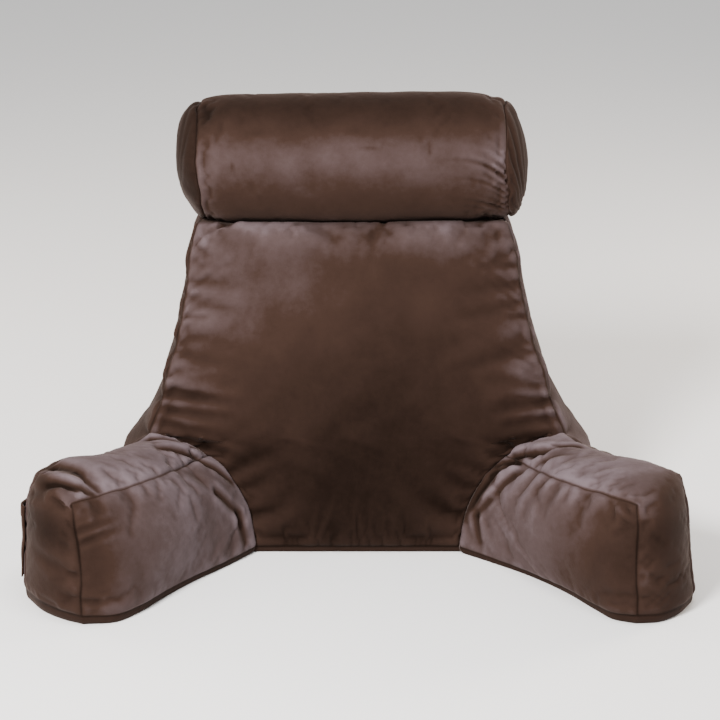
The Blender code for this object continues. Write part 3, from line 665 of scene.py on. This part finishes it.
class Cushion:
    """Panels and base, welded along their seams into one closed mesh."""

    def __init__(self, panels, outline=None, end_loops=()):
        self.panels = panels
        self.points = []
        self.quads = []
        self.tones = []
        self.seams = []
        self.caps = []
        self.starts = {}
        self.count = 0
        for name, panel in panels.items():
            self.add_panel(name, panel)
        self.panel_count = self.count
        if outline is not None:
            self.add_base(outline)
        for loop in end_loops:
            self.caps.append(self.add_points(loop) + np.arange(len(loop)))

    def add_points(self, points):
        start = self.count
        self.points.append(np.asarray(points, float).reshape(-1, 3))
        self.count += len(self.points[-1])
        return start

    def add_panel(self, name, panel):
        rows, columns = panel.grid.shape[:2]
        start = self.starts[name] = self.add_points(panel.grid)
        ids = np.arange(rows * columns).reshape(rows, columns)
        corners = (ids[:-1, :-1], ids[1:, :-1], ids[1:, 1:], ids[:-1, 1:])
        quads = np.stack(corners, axis=-1).reshape(-1, 4)
        self.quads.append(quads + start)
        self.tones.append(panel.tone.reshape(-1)[quads])
        self.seams.append(panel.seam_mask().reshape(-1)[quads])

    def add_base(self, outline):
        """A base panel that turns under from its seam and lies flat on the floor."""
        centre = outline.mean(axis=0)
        count = len(outline)
        ring = np.arange(count)
        turned = (ring + 1) % count
        start = self.add_points(outline)
        for step in range(1, BASE_RINGS + 1):
            turn = step / BASE_RINGS * math.pi / 2
            inner = centre + (outline - centre) * (1 - BASE_TURN * (1 - math.cos(turn)))
            inner[:, 2] = outline[:, 2] * (1 - math.sin(turn))
            following = self.add_points(inner)
            corners = (start + ring, start + turned, following + turned, following + ring)
            seam = np.zeros((count, 4))
            seam[:, :2] = float(step == 1)
            self.quads.append(np.stack(corners, axis=1))
            self.tones.append(np.full((count, 4), BASE_TONE))
            self.seams.append(seam)
            start = following
        self.caps.append(start + ring)

    def welded(self):
        """The mesh's own points, and for each gathered point the index of the one it became."""
        points = np.concatenate(self.points)
        keys = np.round(points, WELD_DECIMALS) + 0.0
        first, index = np.unique(keys, axis=0, return_index=True, return_inverse=True)[1:]
        return points[first], index.reshape(-1)

    def welded_panels(self, index):
        """Each panel, with the index of the mesh's own point at each place of its grid."""
        pairs = {}
        for name, panel in self.panels.items():
            rows, columns = panel.grid.shape[:2]
            start = self.starts[name]
            pairs[name] = (panel, index[start:start + rows * columns].reshape(rows, columns))
        return pairs

    def mesh(self, name):
        points, index = self.welded()
        faces = index[np.concatenate(self.quads)].tolist()
        faces += [index[cap].tolist() for cap in self.caps]
        mesh = bpy.data.meshes.new(name)
        mesh.from_pydata(points.tolist(), [], faces)
        padding = sum(map(len, self.caps))
        # The painted light and shade and the way the pile lies go to the mesh together as one attribute
        for label, values, rest in (("pile_and_painted_light", self.tones, BASE_TONE), ("seam", self.seams, 0.0)):
            attribute = mesh.attributes.new(label, "FLOAT", "CORNER")
            flat = np.concatenate([np.concatenate(values).reshape(-1), np.full(padding, rest)])
            attribute.data.foreach_set("value", flat)
        shape = bmesh.new()
        shape.from_mesh(mesh)
        bmesh.ops.recalc_face_normals(shape, faces=shape.faces)
        shape.to_mesh(mesh)
        shape.free()
        mesh.shade_smooth()
        return mesh


def moves_of_cloth(cushion, fullness, seam_slack, cap):
    """How far the cloth of each panel moves when the filling blows it up between its seams."""
    points, index = cushion.welded()
    pinned = np.zeros(len(points), bool)
    taut = np.ones(len(points))
    pinned[index[cushion.panel_count:]] = True
    for panel, ids in cushion.welded_panels(index).values():
        pinned[ids[(panel.seam_mask() > 0) | panel.hidden]] = True
        taut[ids] = np.minimum(taut[ids], 1.0 - np.exp(-panel.from_seam(True) / SLACK_REACH))
    sheet = placed("cloth", cushion.mesh("cloth"))
    sheet.vertex_groups.new(name="pinned").add(np.flatnonzero(pinned).tolist(), 1.0, "REPLACE")
    taut_group = sheet.vertex_groups.new(name="taut")
    for vertex, weight in enumerate(taut.tolist()):
        taut_group.add([vertex], weight, "REPLACE")
    cloth = sheet.modifiers.new("cloth", "CLOTH")
    settings = cloth.settings
    for label, value in CLOTH_SETTINGS.items():
        setattr(settings, label, value)
    settings.vertex_group_mass = "pinned"
    settings.uniform_pressure_force = fullness
    settings.vertex_group_shrink = "taut"
    settings.shrink_min = -seam_slack
    settings.shrink_max = -PANEL_SLACK
    settings.effector_weights.gravity = 0.0
    cloth.collision_settings.use_collision = False
    for number in range(1, CLOTH_FRAMES + 1):
        bpy.context.scene.frame_set(number)
    blown_up = sheet.evaluated_get(bpy.context.evaluated_depsgraph_get()).data
    after = np.empty(len(points) * 3)
    blown_up.vertices.foreach_get("co", after)
    bpy.data.objects.remove(sheet, do_unlink=True)
    bpy.context.scene.frame_set(1)
    move = after.reshape(-1, 3) - points
    move[pinned] = 0.0
    length = np.linalg.norm(move, axis=1, keepdims=True) + NEARLY_NOTHING
    move *= cap * np.tanh(length / cap) / length
    return {name: move[ids] for name, (_, ids) in cushion.welded_panels(index).items()}


def moved(panels, moves):
    """The fine panels, moved as the simulated cloth was."""
    for name, panel in panels.items():
        if not panel.hidden:
            panel.grid = panel.grid + resampled(moves[name], *panel.grid.shape[:2])
        if panel.closed:
            panel.grid[:, -1] = panel.grid[:, 0]


def blurred(grid, passes):
    """A grid smoothed along both its directions, with its borders kept."""
    for _ in range(passes):
        for axis in (0, 1):
            rows = np.moveaxis(grid, axis, 0)
            middle = 0.25 * rows[:-2] + 0.5 * rows[1:-1] + 0.25 * rows[2:]
            grid = np.moveaxis(np.concatenate([rows[:1], middle, rows[-1:]]), 0, axis)
    return grid


def along_line(panel, line, normals, lost):
    """How many widths beside a line each point of a panel lies, and how strong the line is there."""
    start = place_on(panel.grid, line.u_from, line.v_from)
    run = place_on(panel.grid, line.u_to, line.v_to) - start
    length = np.linalg.norm(run)
    offset = panel.grid - start
    share = (offset * run).sum(axis=2) / length**2
    beyond = (share - np.clip(share, 0.0, 1.0)) * length / line.width
    beside = (offset * np.cross(normals, run / length)).sum(axis=2) / line.width
    lifted = np.linalg.norm(offset, axis=2) > 2 * length + 4 * line.width
    strength = (1.0 - lost * np.clip(share, 0.0, 1.0)) * np.exp(-(beyond**2))
    return beside, np.where(lifted, 0.0, strength)


def crease_press(panel, crease, normals):
    """How deep one crease presses each point of a panel, with a ridge on each side of its trough."""
    beside, strength = along_line(panel, crease, normals, CREASE_FADE)
    trough = np.exp(-(beside**2))
    ridges = np.exp(-((beside - RIDGE_OFFSET) ** 2)) + np.exp(-((beside + RIDGE_OFFSET) ** 2))
    return crease.depth * strength * (trough - crease.ridge * ridges)


def gather_press(panel, gather, seed):
    """How deep a row of puckers along one side presses each point of a panel."""
    reach = distances(panel.grid)
    away = reach[gather.side]
    along = reach["left"] if gather.side in ("low", "high") else reach["low"]
    whole = along[-1:] if gather.side in ("low", "high") else along[:, -1:]
    share = along / (whole + LEAST_SIDE)
    window = np.clip((share - gather.start) / GATHER_EASE, 0.0, 1.0)
    window = window * np.clip((gather.stop - share) / GATHER_EASE, 0.0, 1.0)
    place = along + gather.slant * away
    wander = soft_noise(seed, place / (GATHER_WANDER * gather.pitch), away / (2 * gather.length))
    strength = 0.5 + 0.5 * soft_noise(seed + 1, place / (GATHER_CHANGE * gather.pitch))
    length = gather.length * (1.0 + GATHER_UNLIKE * soft_noise(seed + 2, place / gather.pitch))
    wave = 0.5 + 0.5 * np.cos(2 * math.pi * (place / gather.pitch + 0.5 * wander))
    fade = np.exp(-((away / length) ** GATHER_FADE))
    return gather.depth * window * strength * wave**GATHER_SHARPNESS * fade


def finished(panels, creases, gathers, tones, shading_spots, shading_strokes, seed):
    """Presses the creases and puckers in, raises the cloth beside each seam and lays the pile, with
    painted shade in the troughs of folds, painted highlights on their ridges, and painted shade and
    highlight along the listed lines.
    """
    for number, (name, panel) in enumerate(panels.items()):
        if panel.hidden:
            continue
        normals = panel.normals()
        reach = distances(panel.grid)
        from_side = np.minimum.reduce(list(reach.values()))
        along, across = reach["left"], reach["low"]
        press = np.zeros(panel.grid.shape[:2])
        for crease in creases.get(name, ()):
            press += crease_press(panel, crease, normals)
        for row, gather in enumerate(gathers):
            if gather.panel == name:
                press += gather_press(panel, gather, seed + ROW_SEED * row)
        for size, height in UNEVENNESS:
            noise_seed = seed + PANEL_SEED * number + UNEVENNESS_SEED
            press += height * soft_noise(noise_seed, along / size, across / size)
        press *= 1.0 - np.exp(-from_side / SEAM_RADIUS)
        press -= SEAM_PUFF * (1.0 - np.exp(-panel.from_seam() / SEAM_RADIUS))
        panel.grid = panel.grid - press[..., None] * normals
        # Painted shade and highlight: the troughs of folds and creases are painted darker and their ridges
        # lighter, by how far each point stands proud of the blurred cloth about it.
        proud = ((panel.grid - blurred(panel.grid, FOLD_PASSES)) * normals).sum(axis=2)
        laid_and_lit = pile_with_painted_light(panel, tones[name], shading_spots.get(name, ()), along, across, seed + number)
        panel.tone = laid_and_lit + FOLD_SHADING_MOST * np.tanh(FOLD_SHADING * proud / FOLD_SHADING_MOST)
        # Painted shade in the troughs of the deepest creases and beside the joints, and painted highlight
        # on a ridge, along the listed lines
        for shading_stroke in shading_strokes.get(name, ()):
            beside, strength = along_line(panel, shading_stroke, normals, SHADING_STROKE_FADE)
            panel.tone += shading_stroke.tone * strength * np.exp(-(beside**2))


def pile_with_painted_light(panel, tone, shading_spots, along, across, seed):
    """How light the pile is painted at each point of a panel: the panel's tone, the spots of painted light
    and shade, and random mottling.
    """
    u, v = shares_of(panel.grid)
    laid_and_lit = np.full(panel.grid.shape[:2], tone)
    for shading_spot in shading_spots:
        spread = ((u - shading_spot.u) / shading_spot.u_reach) ** 2 + ((v - shading_spot.v) / shading_spot.v_reach) ** 2
        laid_and_lit += shading_spot.tone * np.exp(-spread)
    for size, strength in MOTTLING:
        laid_and_lit += strength * soft_noise(seed + MOTTLING_SEED, along / size, across / size)
    return np.clip(laid_and_lit, 0.0, 1.0)


def middle_sag(x):
    """How much lower the neck roll's underside hangs at a distance from its middle."""
    return ROLL_MIDDLE_SAG * (1.0 - np.minimum(np.abs(x) / ROLL_SEAM_HALF_SPACING, 1.0) ** 2)


def wave_round(turns):
    """The waves of a round seam, which closes after one turn."""
    wave = soft_noise(ROLL_SEAM_SEED, turns * ROLL_SEAM_WAVES)
    return wave * np.clip(np.minimum(turns, 1.0 - turns) * ROLL_SEAM_WAVES, 0.0, 1.0)


def roll_underside(x, y):
    """The height of the neck roll's underside, with a little room towards its sides."""
    reach = np.abs(y - ROLL_CENTRE[1])
    axis_height = ROLL_CENTRE[2] + (x - ROLL_CENTRE[0]) * math.tan(ROLL_TILT)
    round_drop = np.sqrt(np.maximum(ROLL_REACH**2 - reach**2, 0.0))
    drop = np.minimum(ROLL_FLAT, round_drop) / math.cos(ROLL_TILT) + middle_sag(x - ROLL_CENTRE[0])
    flat_reach = math.sqrt(ROLL_REACH**2 - ROLL_FLAT**2)
    room = CLEARANCE + ROLL_ROOM * np.maximum(reach - flat_reach, 0.0)
    return axis_height - drop - room


def under_roll(grid):
    """A panel of the back, pressed down where the neck roll lies on it."""
    pressed = grid.copy()
    pressed[..., 2] = np.minimum(grid[..., 2], roll_underside(grid[..., 0], grid[..., 1]))
    return pressed


def with_lip(grid):
    """The front panel with its top edge bulging out below the neck roll."""
    below = distances(grid)["high"]
    u, _ = shares_of(grid)
    turn = 1.0 - np.clip(below / LIP_RADIUS, 0.0, 1.0)
    fade = np.exp(-((np.maximum(below - LIP_RADIUS, 0.0) / LIP_FADE) ** 2))
    length, share, seed = LIP_WAVES
    waves = 1.0 + share * soft_noise(seed, grid[..., 0] / length)
    out = LIP * waves * np.sqrt(1.0 - turn**2) * fade * (4 * u * (1 - u)) ** LIP_SIDE_POWER
    return grid + out[..., None] * LIPWARD


def leaning(panels):
    """Moves the upper part of each panel a little to the left."""
    for panel in panels.values():
        height = (panel.grid[..., 2] - LEANING_FROM) / (TOP_SEAM_HEIGHT - LEANING_FROM)
        panel.grid[..., 0] -= LEANING * np.clip(height, 0.0, 1.0)


def side_strip(front_seam, rear_seam, top, cells):
    """The back's side strip, row by row from the floor up, swollen between its two seams."""
    depth = np.linspace(0.0, 1.0, cells + 1)
    front = front_seam[:, None]
    rear = rear_seam[:, None]
    grid = front + (rear - front) * depth[None, :, None]
    heights = [swell.z for swell in GUSSET_SWELL]
    swells = [swell.out for swell in GUSSET_SWELL]
    out = np.interp(grid[..., 2], heights, swells)
    grid[..., 0] += out * (4 * depth * (1 - depth)) ** SIDE_FULLNESS
    grid[-1] = top
    grid[:, 0], grid[:, -1] = front_seam, rear_seam
    return grid


def joint_seams(height, width, out=0.0):
    """The seams round the joint between the back and an arm: two arcs, outer side and foot."""
    arc_lower = smooth_curve([front_plane(point, out) for point in JOINT_ARC_LOWER], height)
    arc_upper = smooth_curve([front_plane(point, out) for point in JOINT_ARC_UPPER], width)
    outer = smooth_curve([front_plane(point, out) for point in JOINT_OUTER], height)
    return arc_lower, arc_upper, outer, smooth_curve([arc_lower[0], outer[0]], width)


def across_middle(end, cells):
    """The straight seam from a point's place on the left to the point itself."""
    return smooth_curve([mirrored(end), end], cells)


def back_panels(detail):
    """The back's panels, with detail times the simulated cloth's cells, and its base outline."""
    height, width = (cells * detail for cells in CELLS_JOINT)
    arc_lower, arc_upper, joint_outer, joint_foot = joint_seams(height, width)
    side_seam = smooth_curve([front_plane(point) for point in SIDE_SEAM], CELLS_SIDE * detail)
    front_side = joined(arc_lower, arc_upper, side_seam)
    rear_seam = smooth_curve(REAR_SEAM, height + CELLS_SIDE * detail)
    ends = (front_side[0], front_side[-1], rear_seam[0], rear_seam[-1])
    front_foot, front_top, rear_foot, rear_top = (across_middle(end, CELLS_FRONT * detail) for end in ends)
    gusset_top = smooth_curve(GUSSET_TOP, CELLS_DEPTH * detail)

    front = coons_patch(front_foot, front_top, mirrored(front_side), front_side)
    rear = coons_patch(rear_foot, rear_top, mirrored(rear_seam), rear_seam)
    top = coons_patch(front_top, rear_top, mirrored(gusset_top), gusset_top)
    side = side_strip(joined(joint_outer, side_seam), rear_seam, gusset_top, CELLS_DEPTH * detail)
    joint = coons_patch(joint_foot, arc_upper, arc_lower, joint_outer)
    panels = {
        "front": Panel(with_lip(crowned(front, FRONT_CROWN, AHEAD, FRONT_FULLNESS)), AHEAD),
        "rear": Panel(crowned(rear, REAR_CROWN, -AHEAD), -AHEAD),
        "top": Panel(crowned(top, TOP_CROWN, UPWARD), UPWARD),
        "right side": Panel(side, RIGHTWARD),
        "left side": Panel(mirrored(side), -RIGHTWARD),
        "right joint": Panel(joint, AHEAD, hidden=True),
        "left joint": Panel(mirrored(joint), AHEAD, hidden=True),
    }
    right_foot = np.concatenate([joint_foot[1:], side[0][1:]])
    outline = [front_foot, right_foot, rear_foot[1:-1][::-1], mirrored(right_foot)[::-1]]
    return panels, np.concatenate(outline)


def rounded_fold(grid):
    """An arm's strip with its fold rounded off along its middle, and left alone at its seams."""
    rows = np.arange(grid.shape[0])
    step = np.linalg.norm(np.diff(grid, axis=0), axis=2).mean()
    weight = np.exp(-(((rows[:, None] - rows[None]) * step / FOLD_ROUNDING) ** 2))
    weight /= weight.sum(axis=1, keepdims=True)
    smooth = np.einsum("ij,jkl->ikl", weight, grid)
    return grid + swell_of(grid, FOLD_FULLNESS) * (smooth - grid)


def arm_panels(seams, detail):
    """An arm's panels as on the right side: inner, outer, and the strip over its top and end."""
    height, width, length = (
        cells * detail for cells in (CELLS_ARM_HEIGHT, CELLS_ARM_WIDTH, CELLS_ARM_LENGTH)
    )

    def seam(name, cells, *start):
        return smooth_curve([*start, *map(arm_place, seams[name])], cells)

    arc_lower, arc_upper, joint_outer, joint_foot = joint_seams(height, width, CLEARANCE)
    inner_foot = seam("inner_foot", length, arc_lower[0])
    outer_foot = seam("outer_foot", length, joint_outer[0])
    inner_top = wavering(seam("inner_top", length, arc_upper[0]), UPWARD, ARM_SEAM_SEED)
    outer_top = wavering(seam("outer_top", length, arc_upper[-1]), UPWARD, ARM_SEAM_SEED + 1)
    end_inner = wavering(seam("end_inner", height), INWARD, ARM_SEAM_SEED + 2)
    end_outer = wavering(seam("end_outer", height), INWARD, ARM_SEAM_SEED + 3)
    end_foot = seam("end_foot", width)

    inner = coons_patch(inner_foot, inner_top, arc_lower, end_inner)
    outer = coons_patch(outer_foot, outer_top, joint_outer, end_outer)
    strip_inner = joined(inner_top, end_inner[::-1])
    strip_outer = joined(outer_top, end_outer[::-1])
    strip = rounded_fold(coons_patch(strip_inner, strip_outer, arc_upper, end_foot))
    joint = coons_patch(joint_foot, arc_upper, arc_lower, joint_outer)
    panels = {
        "inner": Panel(crowned(inner, INNER_CROWN, INWARD), INWARD, gathered=("left", "high")),
        "outer": Panel(crowned(outer, OUTER_CROWN, -INWARD, OUTER_FULLNESS), -INWARD),
        "strip": Panel(
            crowned(strip, STRIP_CROWN, UPWARD + ENDWARD), UPWARD + ENDWARD, gathered=("left", "low")
        ),
        "joint": Panel(joint, -ENDWARD, hidden=True),
    }
    outline = [inner_foot, end_foot[1:], outer_foot[::-1][1:], joint_foot[::-1][1:-1]]
    return panels, np.concatenate(outline)


def roll_panels(detail):
    """The neck roll's barrel and its two end panels, along X about the origin."""
    around = CLOSING_SEAM + np.linspace(0.0, 2 * math.pi, CELLS_ROUND * detail + 1)
    seam_radius = ROLL_RADIUS * ROLL_SEAM_SHARE

    def ring_grid(places, radii):
        share = np.minimum(np.abs(places) / ROLL_SEAM_HALF_SPACING, 1.0)
        sag = ROLL_SEAM_SAG * share**ROLL_SWELL_POWER
        turns = (around - CLOSING_SEAM) / (2 * math.pi)
        slant = ROLL_SEAM_SLANT * np.maximum(-np.sin(around), 0.0) ** SLANT_POWER
        stray = ROLL_SEAM_WAVER * wave_round(turns) + slant
        follows = share**ROLL_SWELL_POWER * np.minimum(radii / seam_radius, 1.0) ** SLANT_FADE
        x = places[:, None] + follows[:, None] * stray[None]
        y = radii[:, None] * np.cos(around)[None]
        flat = -ROLL_FLAT - middle_sag(x)
        sag = sag[:, None] + middle_sag(x) * (1.0 - np.sin(around)[None]) / 2
        z = np.maximum(radii[:, None] * np.sin(around)[None] - sag, flat)
        grid = np.stack([x, y, z], axis=2)
        grid[:, -1] = grid[:, 0]
        return grid

    def away_from_axis(grid):
        return grid * (0.0, 1.0, 1.0)

    places = np.linspace(-1.0, 1.0, CELLS_BARREL * detail + 1)
    swell = 1.0 - np.abs(places) ** ROLL_SWELL_POWER
    barrel = ring_grid(
        places * ROLL_SEAM_HALF_SPACING, seam_radius + (ROLL_RADIUS - seam_radius) * swell
    )
    inwards = np.linspace(1.0, CAP_CENTRE, CELLS_CAP * detail + 1)
    radii = seam_radius * np.sin(inwards * math.pi / 2)
    dome = np.maximum(1.0 - (radii / seam_radius) ** 2, 0.0) ** ROLL_DOME_POWER
    depth = ROLL_CAP_DEPTH * dome - ROLL_DIMPLE * np.exp(-((radii / DIMPLE_RADIUS) ** 2))
    right_cap = ring_grid(ROLL_SEAM_HALF_SPACING + depth, radii)
    left_cap = ring_grid(-ROLL_SEAM_HALF_SPACING - depth, radii)
    left_cap += LEFT_CAP_SAG * dome[:, None, None] * UPWARD
    right_cap += RIGHT_CAP_SAG * dome[:, None, None] * UPWARD
    right_cap[0], left_cap[0] = barrel[-1], barrel[0]
    return {
        "barrel": Panel(barrel, away_from_axis(barrel), closed=True),
        "right cap": Panel(right_cap, RIGHTWARD, ("left",), closed=True),
        "left cap": Panel(left_cap, -RIGHTWARD, ("left",), closed=True),
    }


def pocket_cushion(outer):
    """The patch pocket on an arm's finished outer panel, standing off at its hemmed mouth."""
    columns = slice(*(round(share * outer.grid.shape[0]) for share in POCKET_ALONG))
    rows = slice(*(round(share * outer.grid.shape[1]) for share in POCKET_UP))
    smooth = Panel(blurred(outer.grid, POCKET_PASSES), outer.outward)
    normals = smooth.normals()[columns, rows]
    patch = smooth.grid[columns, rows]
    bumps = ((outer.grid[columns, rows] - patch) * normals).sum(axis=2)
    lift = blurred(highest_about(bumps, POCKET_REACH), POCKET_REACH)
    across, upwards = shares_of(patch)
    opening = np.sin(math.pi * across) ** POCKET_MOUTH_SHARPNESS * upwards**POCKET_MOUTH_RISE
    under = patch + (lift + POCKET_SEAT + POCKET_MOUTH_GAP * opening)[..., None] * normals
    reach = distances(patch)
    sewn = np.minimum.reduce([reach[side] for side in ("left", "right", "low")])
    stitched = np.minimum(np.abs(sewn - STITCH_INSET), np.abs(reach["high"] - HEM_DEPTH))
    thickness = POCKET_THICKNESS - STITCH_DEPTH * np.exp(-((stitched / STITCH_WIDTH) ** 2))
    thickness += HEM_RISE * (reach["high"] < HEM_DEPTH)
    face = Panel(under + thickness[..., None] * normals, outer.outward)
    back = Panel(under, -outer.outward)
    face.tone = pile_with_painted_light(face, POCKET_TONE, (), reach["left"], reach["low"], POCKET_SEED)
    rim = Panel(np.stack([rim_of(face.grid), rim_of(back.grid)]), outer.outward)
    # The pocket's rim is painted light, as a painted highlight on its edge
    rim.tone[:] = RIM_HIGHLIGHT_TONE
    return Cushion({"face": face, "back": back, "rim": rim})


def highest_about(values, reach):
    """At each place of a grid of values, the highest one within a reach of cells."""
    rows, columns = values.shape
    padded = np.pad(values, reach, mode="edge")
    steps = range(2 * reach + 1)
    shifted = [padded[i:i + rows, j:j + columns] for i in steps for j in steps]
    return np.maximum.reduce(shifted)


def rim_of(grid):
    """The points round a grid's edge, as one closed loop that ends where it starts."""
    edges = [grid[:-1, 0], grid[-1, :-1], grid[:0:-1, -1], grid[0, ::-1]]
    return np.concatenate(edges)


def velvet(name, tint=PLAIN_TINT):
    """Brown velvet, whose colour follows its painted light and shade and the way its pile lies, with a
    painted pinkish sheen at its lightest, crushed spots and fine fibres in relief.
    """
    material = bpy.data.materials.new(name)
    material.use_nodes = True
    nodes, links = material.node_tree.nodes, material.node_tree.links
    shader = nodes["Principled BSDF"]
    for label, value in VELVET_SHADER.items():
        shader.inputs[label].default_value = value
    place = nodes.new("ShaderNodeTexCoord").outputs["Object"]

    def noise(scale, detail, roughness):
        texture = nodes.new("ShaderNodeTexNoise")
        texture.inputs["Scale"].default_value = scale
        texture.inputs["Detail"].default_value = detail
        texture.inputs["Roughness"].default_value = roughness
        links.new(place, texture.inputs["Vector"])
        return texture.outputs["Fac"]

    def maths(operation, first, second, third=None):
        node = nodes.new("ShaderNodeMath")
        node.operation = operation
        for socket, value in zip(node.inputs, (first, second, third)):
            if isinstance(value, bpy.types.NodeSocket):
                links.new(value, socket)
            elif value is not None:
                socket.default_value = value
        return node.outputs["Value"]

    def attribute(label):
        node = nodes.new("ShaderNodeAttribute")
        node.attribute_name = label
        return node.outputs["Fac"]

    crushed, flecks, fibres = (noise(*values) for values in (CRUSH_NOISE, FLECK_NOISE, FIBRE_NOISE))
    # Painted light and shade and the way the pile lies, from the mesh, with random crushed spots, flecks
    # and fibres added
    pile_and_light = attribute("pile_and_painted_light")
    for spots, tone in ((crushed, CRUSH_TONE), (flecks, FLECK_TONE), (fibres, FIBRE_TONE)):
        pile_and_light = maths("MULTIPLY_ADD", maths("SUBTRACT", spots, 0.5), tone, pile_and_light)
    # Seams painted darker: partly painted shadow in their grooves, partly crushed pile
    pile_and_light = maths("MULTIPLY_ADD", attribute("seam"), -SEAM_SHADE_TONE, pile_and_light)
    ramp = nodes.new("ShaderNodeValToRGB")
    stops = ramp.color_ramp.elements
    while len(stops) < len(PILE_AND_SHEEN_COLOURS):
        stops.new(0.5)
    for stop, (position, colour) in zip(stops, PILE_AND_SHEEN_COLOURS):
        stop.position = position
        stop.color = (*(channel * share for channel, share in zip(colour, tint)), 1.0)
    links.new(pile_and_light, ramp.inputs["Fac"])
    links.new(ramp.outputs["Color"], shader.inputs["Base Color"])

    relief = maths("MULTIPLY_ADD", fibres, FIBRE_RELIEF, maths("MULTIPLY", flecks, FLECK_RELIEF))
    bump = nodes.new("ShaderNodeBump")
    bump.inputs["Strength"].default_value = BUMP_STRENGTH
    bump.inputs["Distance"].default_value = BUMP_DISTANCE
    links.new(relief, bump.inputs["Height"])
    links.new(bump.outputs["Normal"], shader.inputs["Normal"])
    return material


def placed(name, data):
    """A new object in the scene."""
    thing = bpy.data.objects.new(name, data)
    bpy.context.scene.collection.objects.link(thing)
    return thing


def piece_from(name, cushion, material, node):
    """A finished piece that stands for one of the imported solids."""
    mesh = cushion.mesh(name)
    mesh.materials.append(material)
    piece = placed(name, mesh)
    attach(piece, "root")
    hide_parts(node)
    return piece


def settled(make_panels, fullness, seam_slack, cap, detail):
    """Panels at their fine pitch, moved as their cloth moves when it is simulated."""
    panels, outline = make_panels(detail)
    coarse, coarse_outline = make_panels(1)
    loops = end_loops_of(coarse)
    cloth = Cushion(coarse, coarse_outline, loops)
    moved(panels, moves_of_cloth(cloth, fullness, seam_slack, cap))
    return panels, outline


def end_loops_of(panels):
    """The small open rings at the gathered centres of round end panels."""
    return [panel.grid[-1, :-1] for panel in panels.values() if panel.seams == ("left",)]


def make_back(material):
    panels, outline = settled(back_panels, BACK_FULLNESS, BACK_SLACK, BACK_CAP, BACK_DETAIL)
    finished(panels, BACK_CREASES, BACK_GATHERS, BACK_PILE_AND_LIGHT_TONES, BACK_SHADING_SPOTS, BACK_SHADING_STROKES, BACK_SEED)
    leaning(panels)
    for panel in panels.values():
        panel.grid = under_roll(panel.grid)
    return piece_from("back_cushion", Cushion(panels, outline), material, "back")


def make_arm(name, seams, creases, gathers, shading_spots, shading_strokes, seed, material, node, left=False):
    """One arm cushion, and its finished outer panel."""
    panels, outline = settled(
        lambda detail: arm_panels(seams, detail), ARM_FULLNESS, ARM_SLACK, ARM_CAP, ARM_DETAIL
    )
    finished(panels, creases, gathers, ARM_PILE_AND_LIGHT_TONES, shading_spots, shading_strokes, seed)
    if left:
        outline = mirrored(outline)
        for panel in panels.values():
            panel.flip()
    piece = piece_from(name, Cushion(panels, outline), material, node)
    return piece, panels["outer"]


def make_roll(material):
    panels, _ = settled(
        lambda detail: (roll_panels(detail), None), ROLL_FULLNESS, ROLL_SLACK, ROLL_CAP, ROLL_DETAIL
    )
    finished(panels, {}, ROLL_GATHERS, ROLL_PILE_AND_LIGHT_TONES, ROLL_SHADING_AND_CRUSH_SPOTS, {}, ROLL_SEED)
    cos_tilt, sin_tilt = math.cos(ROLL_TILT), math.sin(ROLL_TILT)
    for panel in panels.values():
        x, y = panel.grid[..., 0], panel.grid[..., 1]
        z = np.maximum(panel.grid[..., 2], -ROLL_FLAT - middle_sag(x))
        turned = np.stack([x * cos_tilt - z * sin_tilt, y, x * sin_tilt + z * cos_tilt], axis=2)
        panel.grid = turned + ROLL_CENTRE
    cushion = Cushion(panels, end_loops=end_loops_of(panels))
    return piece_from("neck_roll_cushion", cushion, material, "neck_roll")


def make_camera():
    lens = bpy.data.cameras.new("camera")
    lens.lens = CAMERA_LENS
    lens.sensor_width = CAMERA_SENSOR
    camera = placed("camera", lens)
    camera.location = CAMERA_PLACE
    camera.rotation_euler = (math.pi / 2 - CAMERA_PITCH, 0.0, 0.0)
    bpy.context.scene.camera = camera


def make_studio():
    """A plain pale floor, soft area lights and a pale surrounding."""
    mesh = bpy.data.meshes.new("floor")
    corners = [(x * FLOOR_REACH, y * FLOOR_REACH, 0.0) for x, y in ((-1, -1), (1, -1), (1, 1), (-1, 1))]
    mesh.from_pydata(corners, [], [(0, 1, 2, 3)])
    paint = bpy.data.materials.new("floor_paint")
    paint.use_nodes = True
    shader = paint.node_tree.nodes["Principled BSDF"]
    shader.inputs["Base Color"].default_value = FLOOR_COLOUR
    shader.inputs["Roughness"].default_value = FLOOR_ROUGHNESS
    mesh.materials.append(paint)
    placed("floor", mesh)

    for light in STUDIO_LIGHTS:
        lamp = bpy.data.lights.new(light.name, "AREA")
        lamp.shape = "DISK"
        lamp.size = light.size
        lamp.energy = light.watts
        lamp.color = light.colour
        holder = placed(light.name, lamp)
        holder.location = light.place
        aim = Vector(LIGHT_TARGET) - Vector(light.place)
        holder.rotation_euler = aim.to_track_quat("-Z", "Y").to_euler()

    world = bpy.data.worlds.new("studio")
    world.use_nodes = True
    background = world.node_tree.nodes["Background"]
    background.inputs["Color"].default_value = WORLD_COLOUR
    background.inputs["Strength"].default_value = WORLD_STRENGTH
    bpy.context.scene.world = world


def main():
    make_camera()
    back = make_back(velvet("velvet_back"))
    arm_velvet = velvet("velvet_arms")
    right_style = (RIGHT_ARM, RIGHT_CREASES, RIGHT_GATHERS, RIGHT_SHADING_SPOTS, RIGHT_SHADING_STROKES)
    left_style = (LEFT_ARM, LEFT_CREASES, LEFT_GATHERS, LEFT_SHADING_SPOTS, LEFT_SHADING_STROKES)
    right, _ = make_arm("arm_cushion_right", *right_style, RIGHT_ARM_SEED, arm_velvet, "arm_right")
    left, left_outer = make_arm(
        "arm_cushion_left", *left_style, LEFT_ARM_SEED, arm_velvet, "arm_left", left=True
    )
    roll = make_roll(velvet("velvet_roll"))
    patch = pocket_cushion(left_outer)
    pocket = piece_from("pocket_patch", patch, velvet("velvet_pocket", POCKET_WARM_LIGHT_TINT), "pocket")
    make_studio()


main()
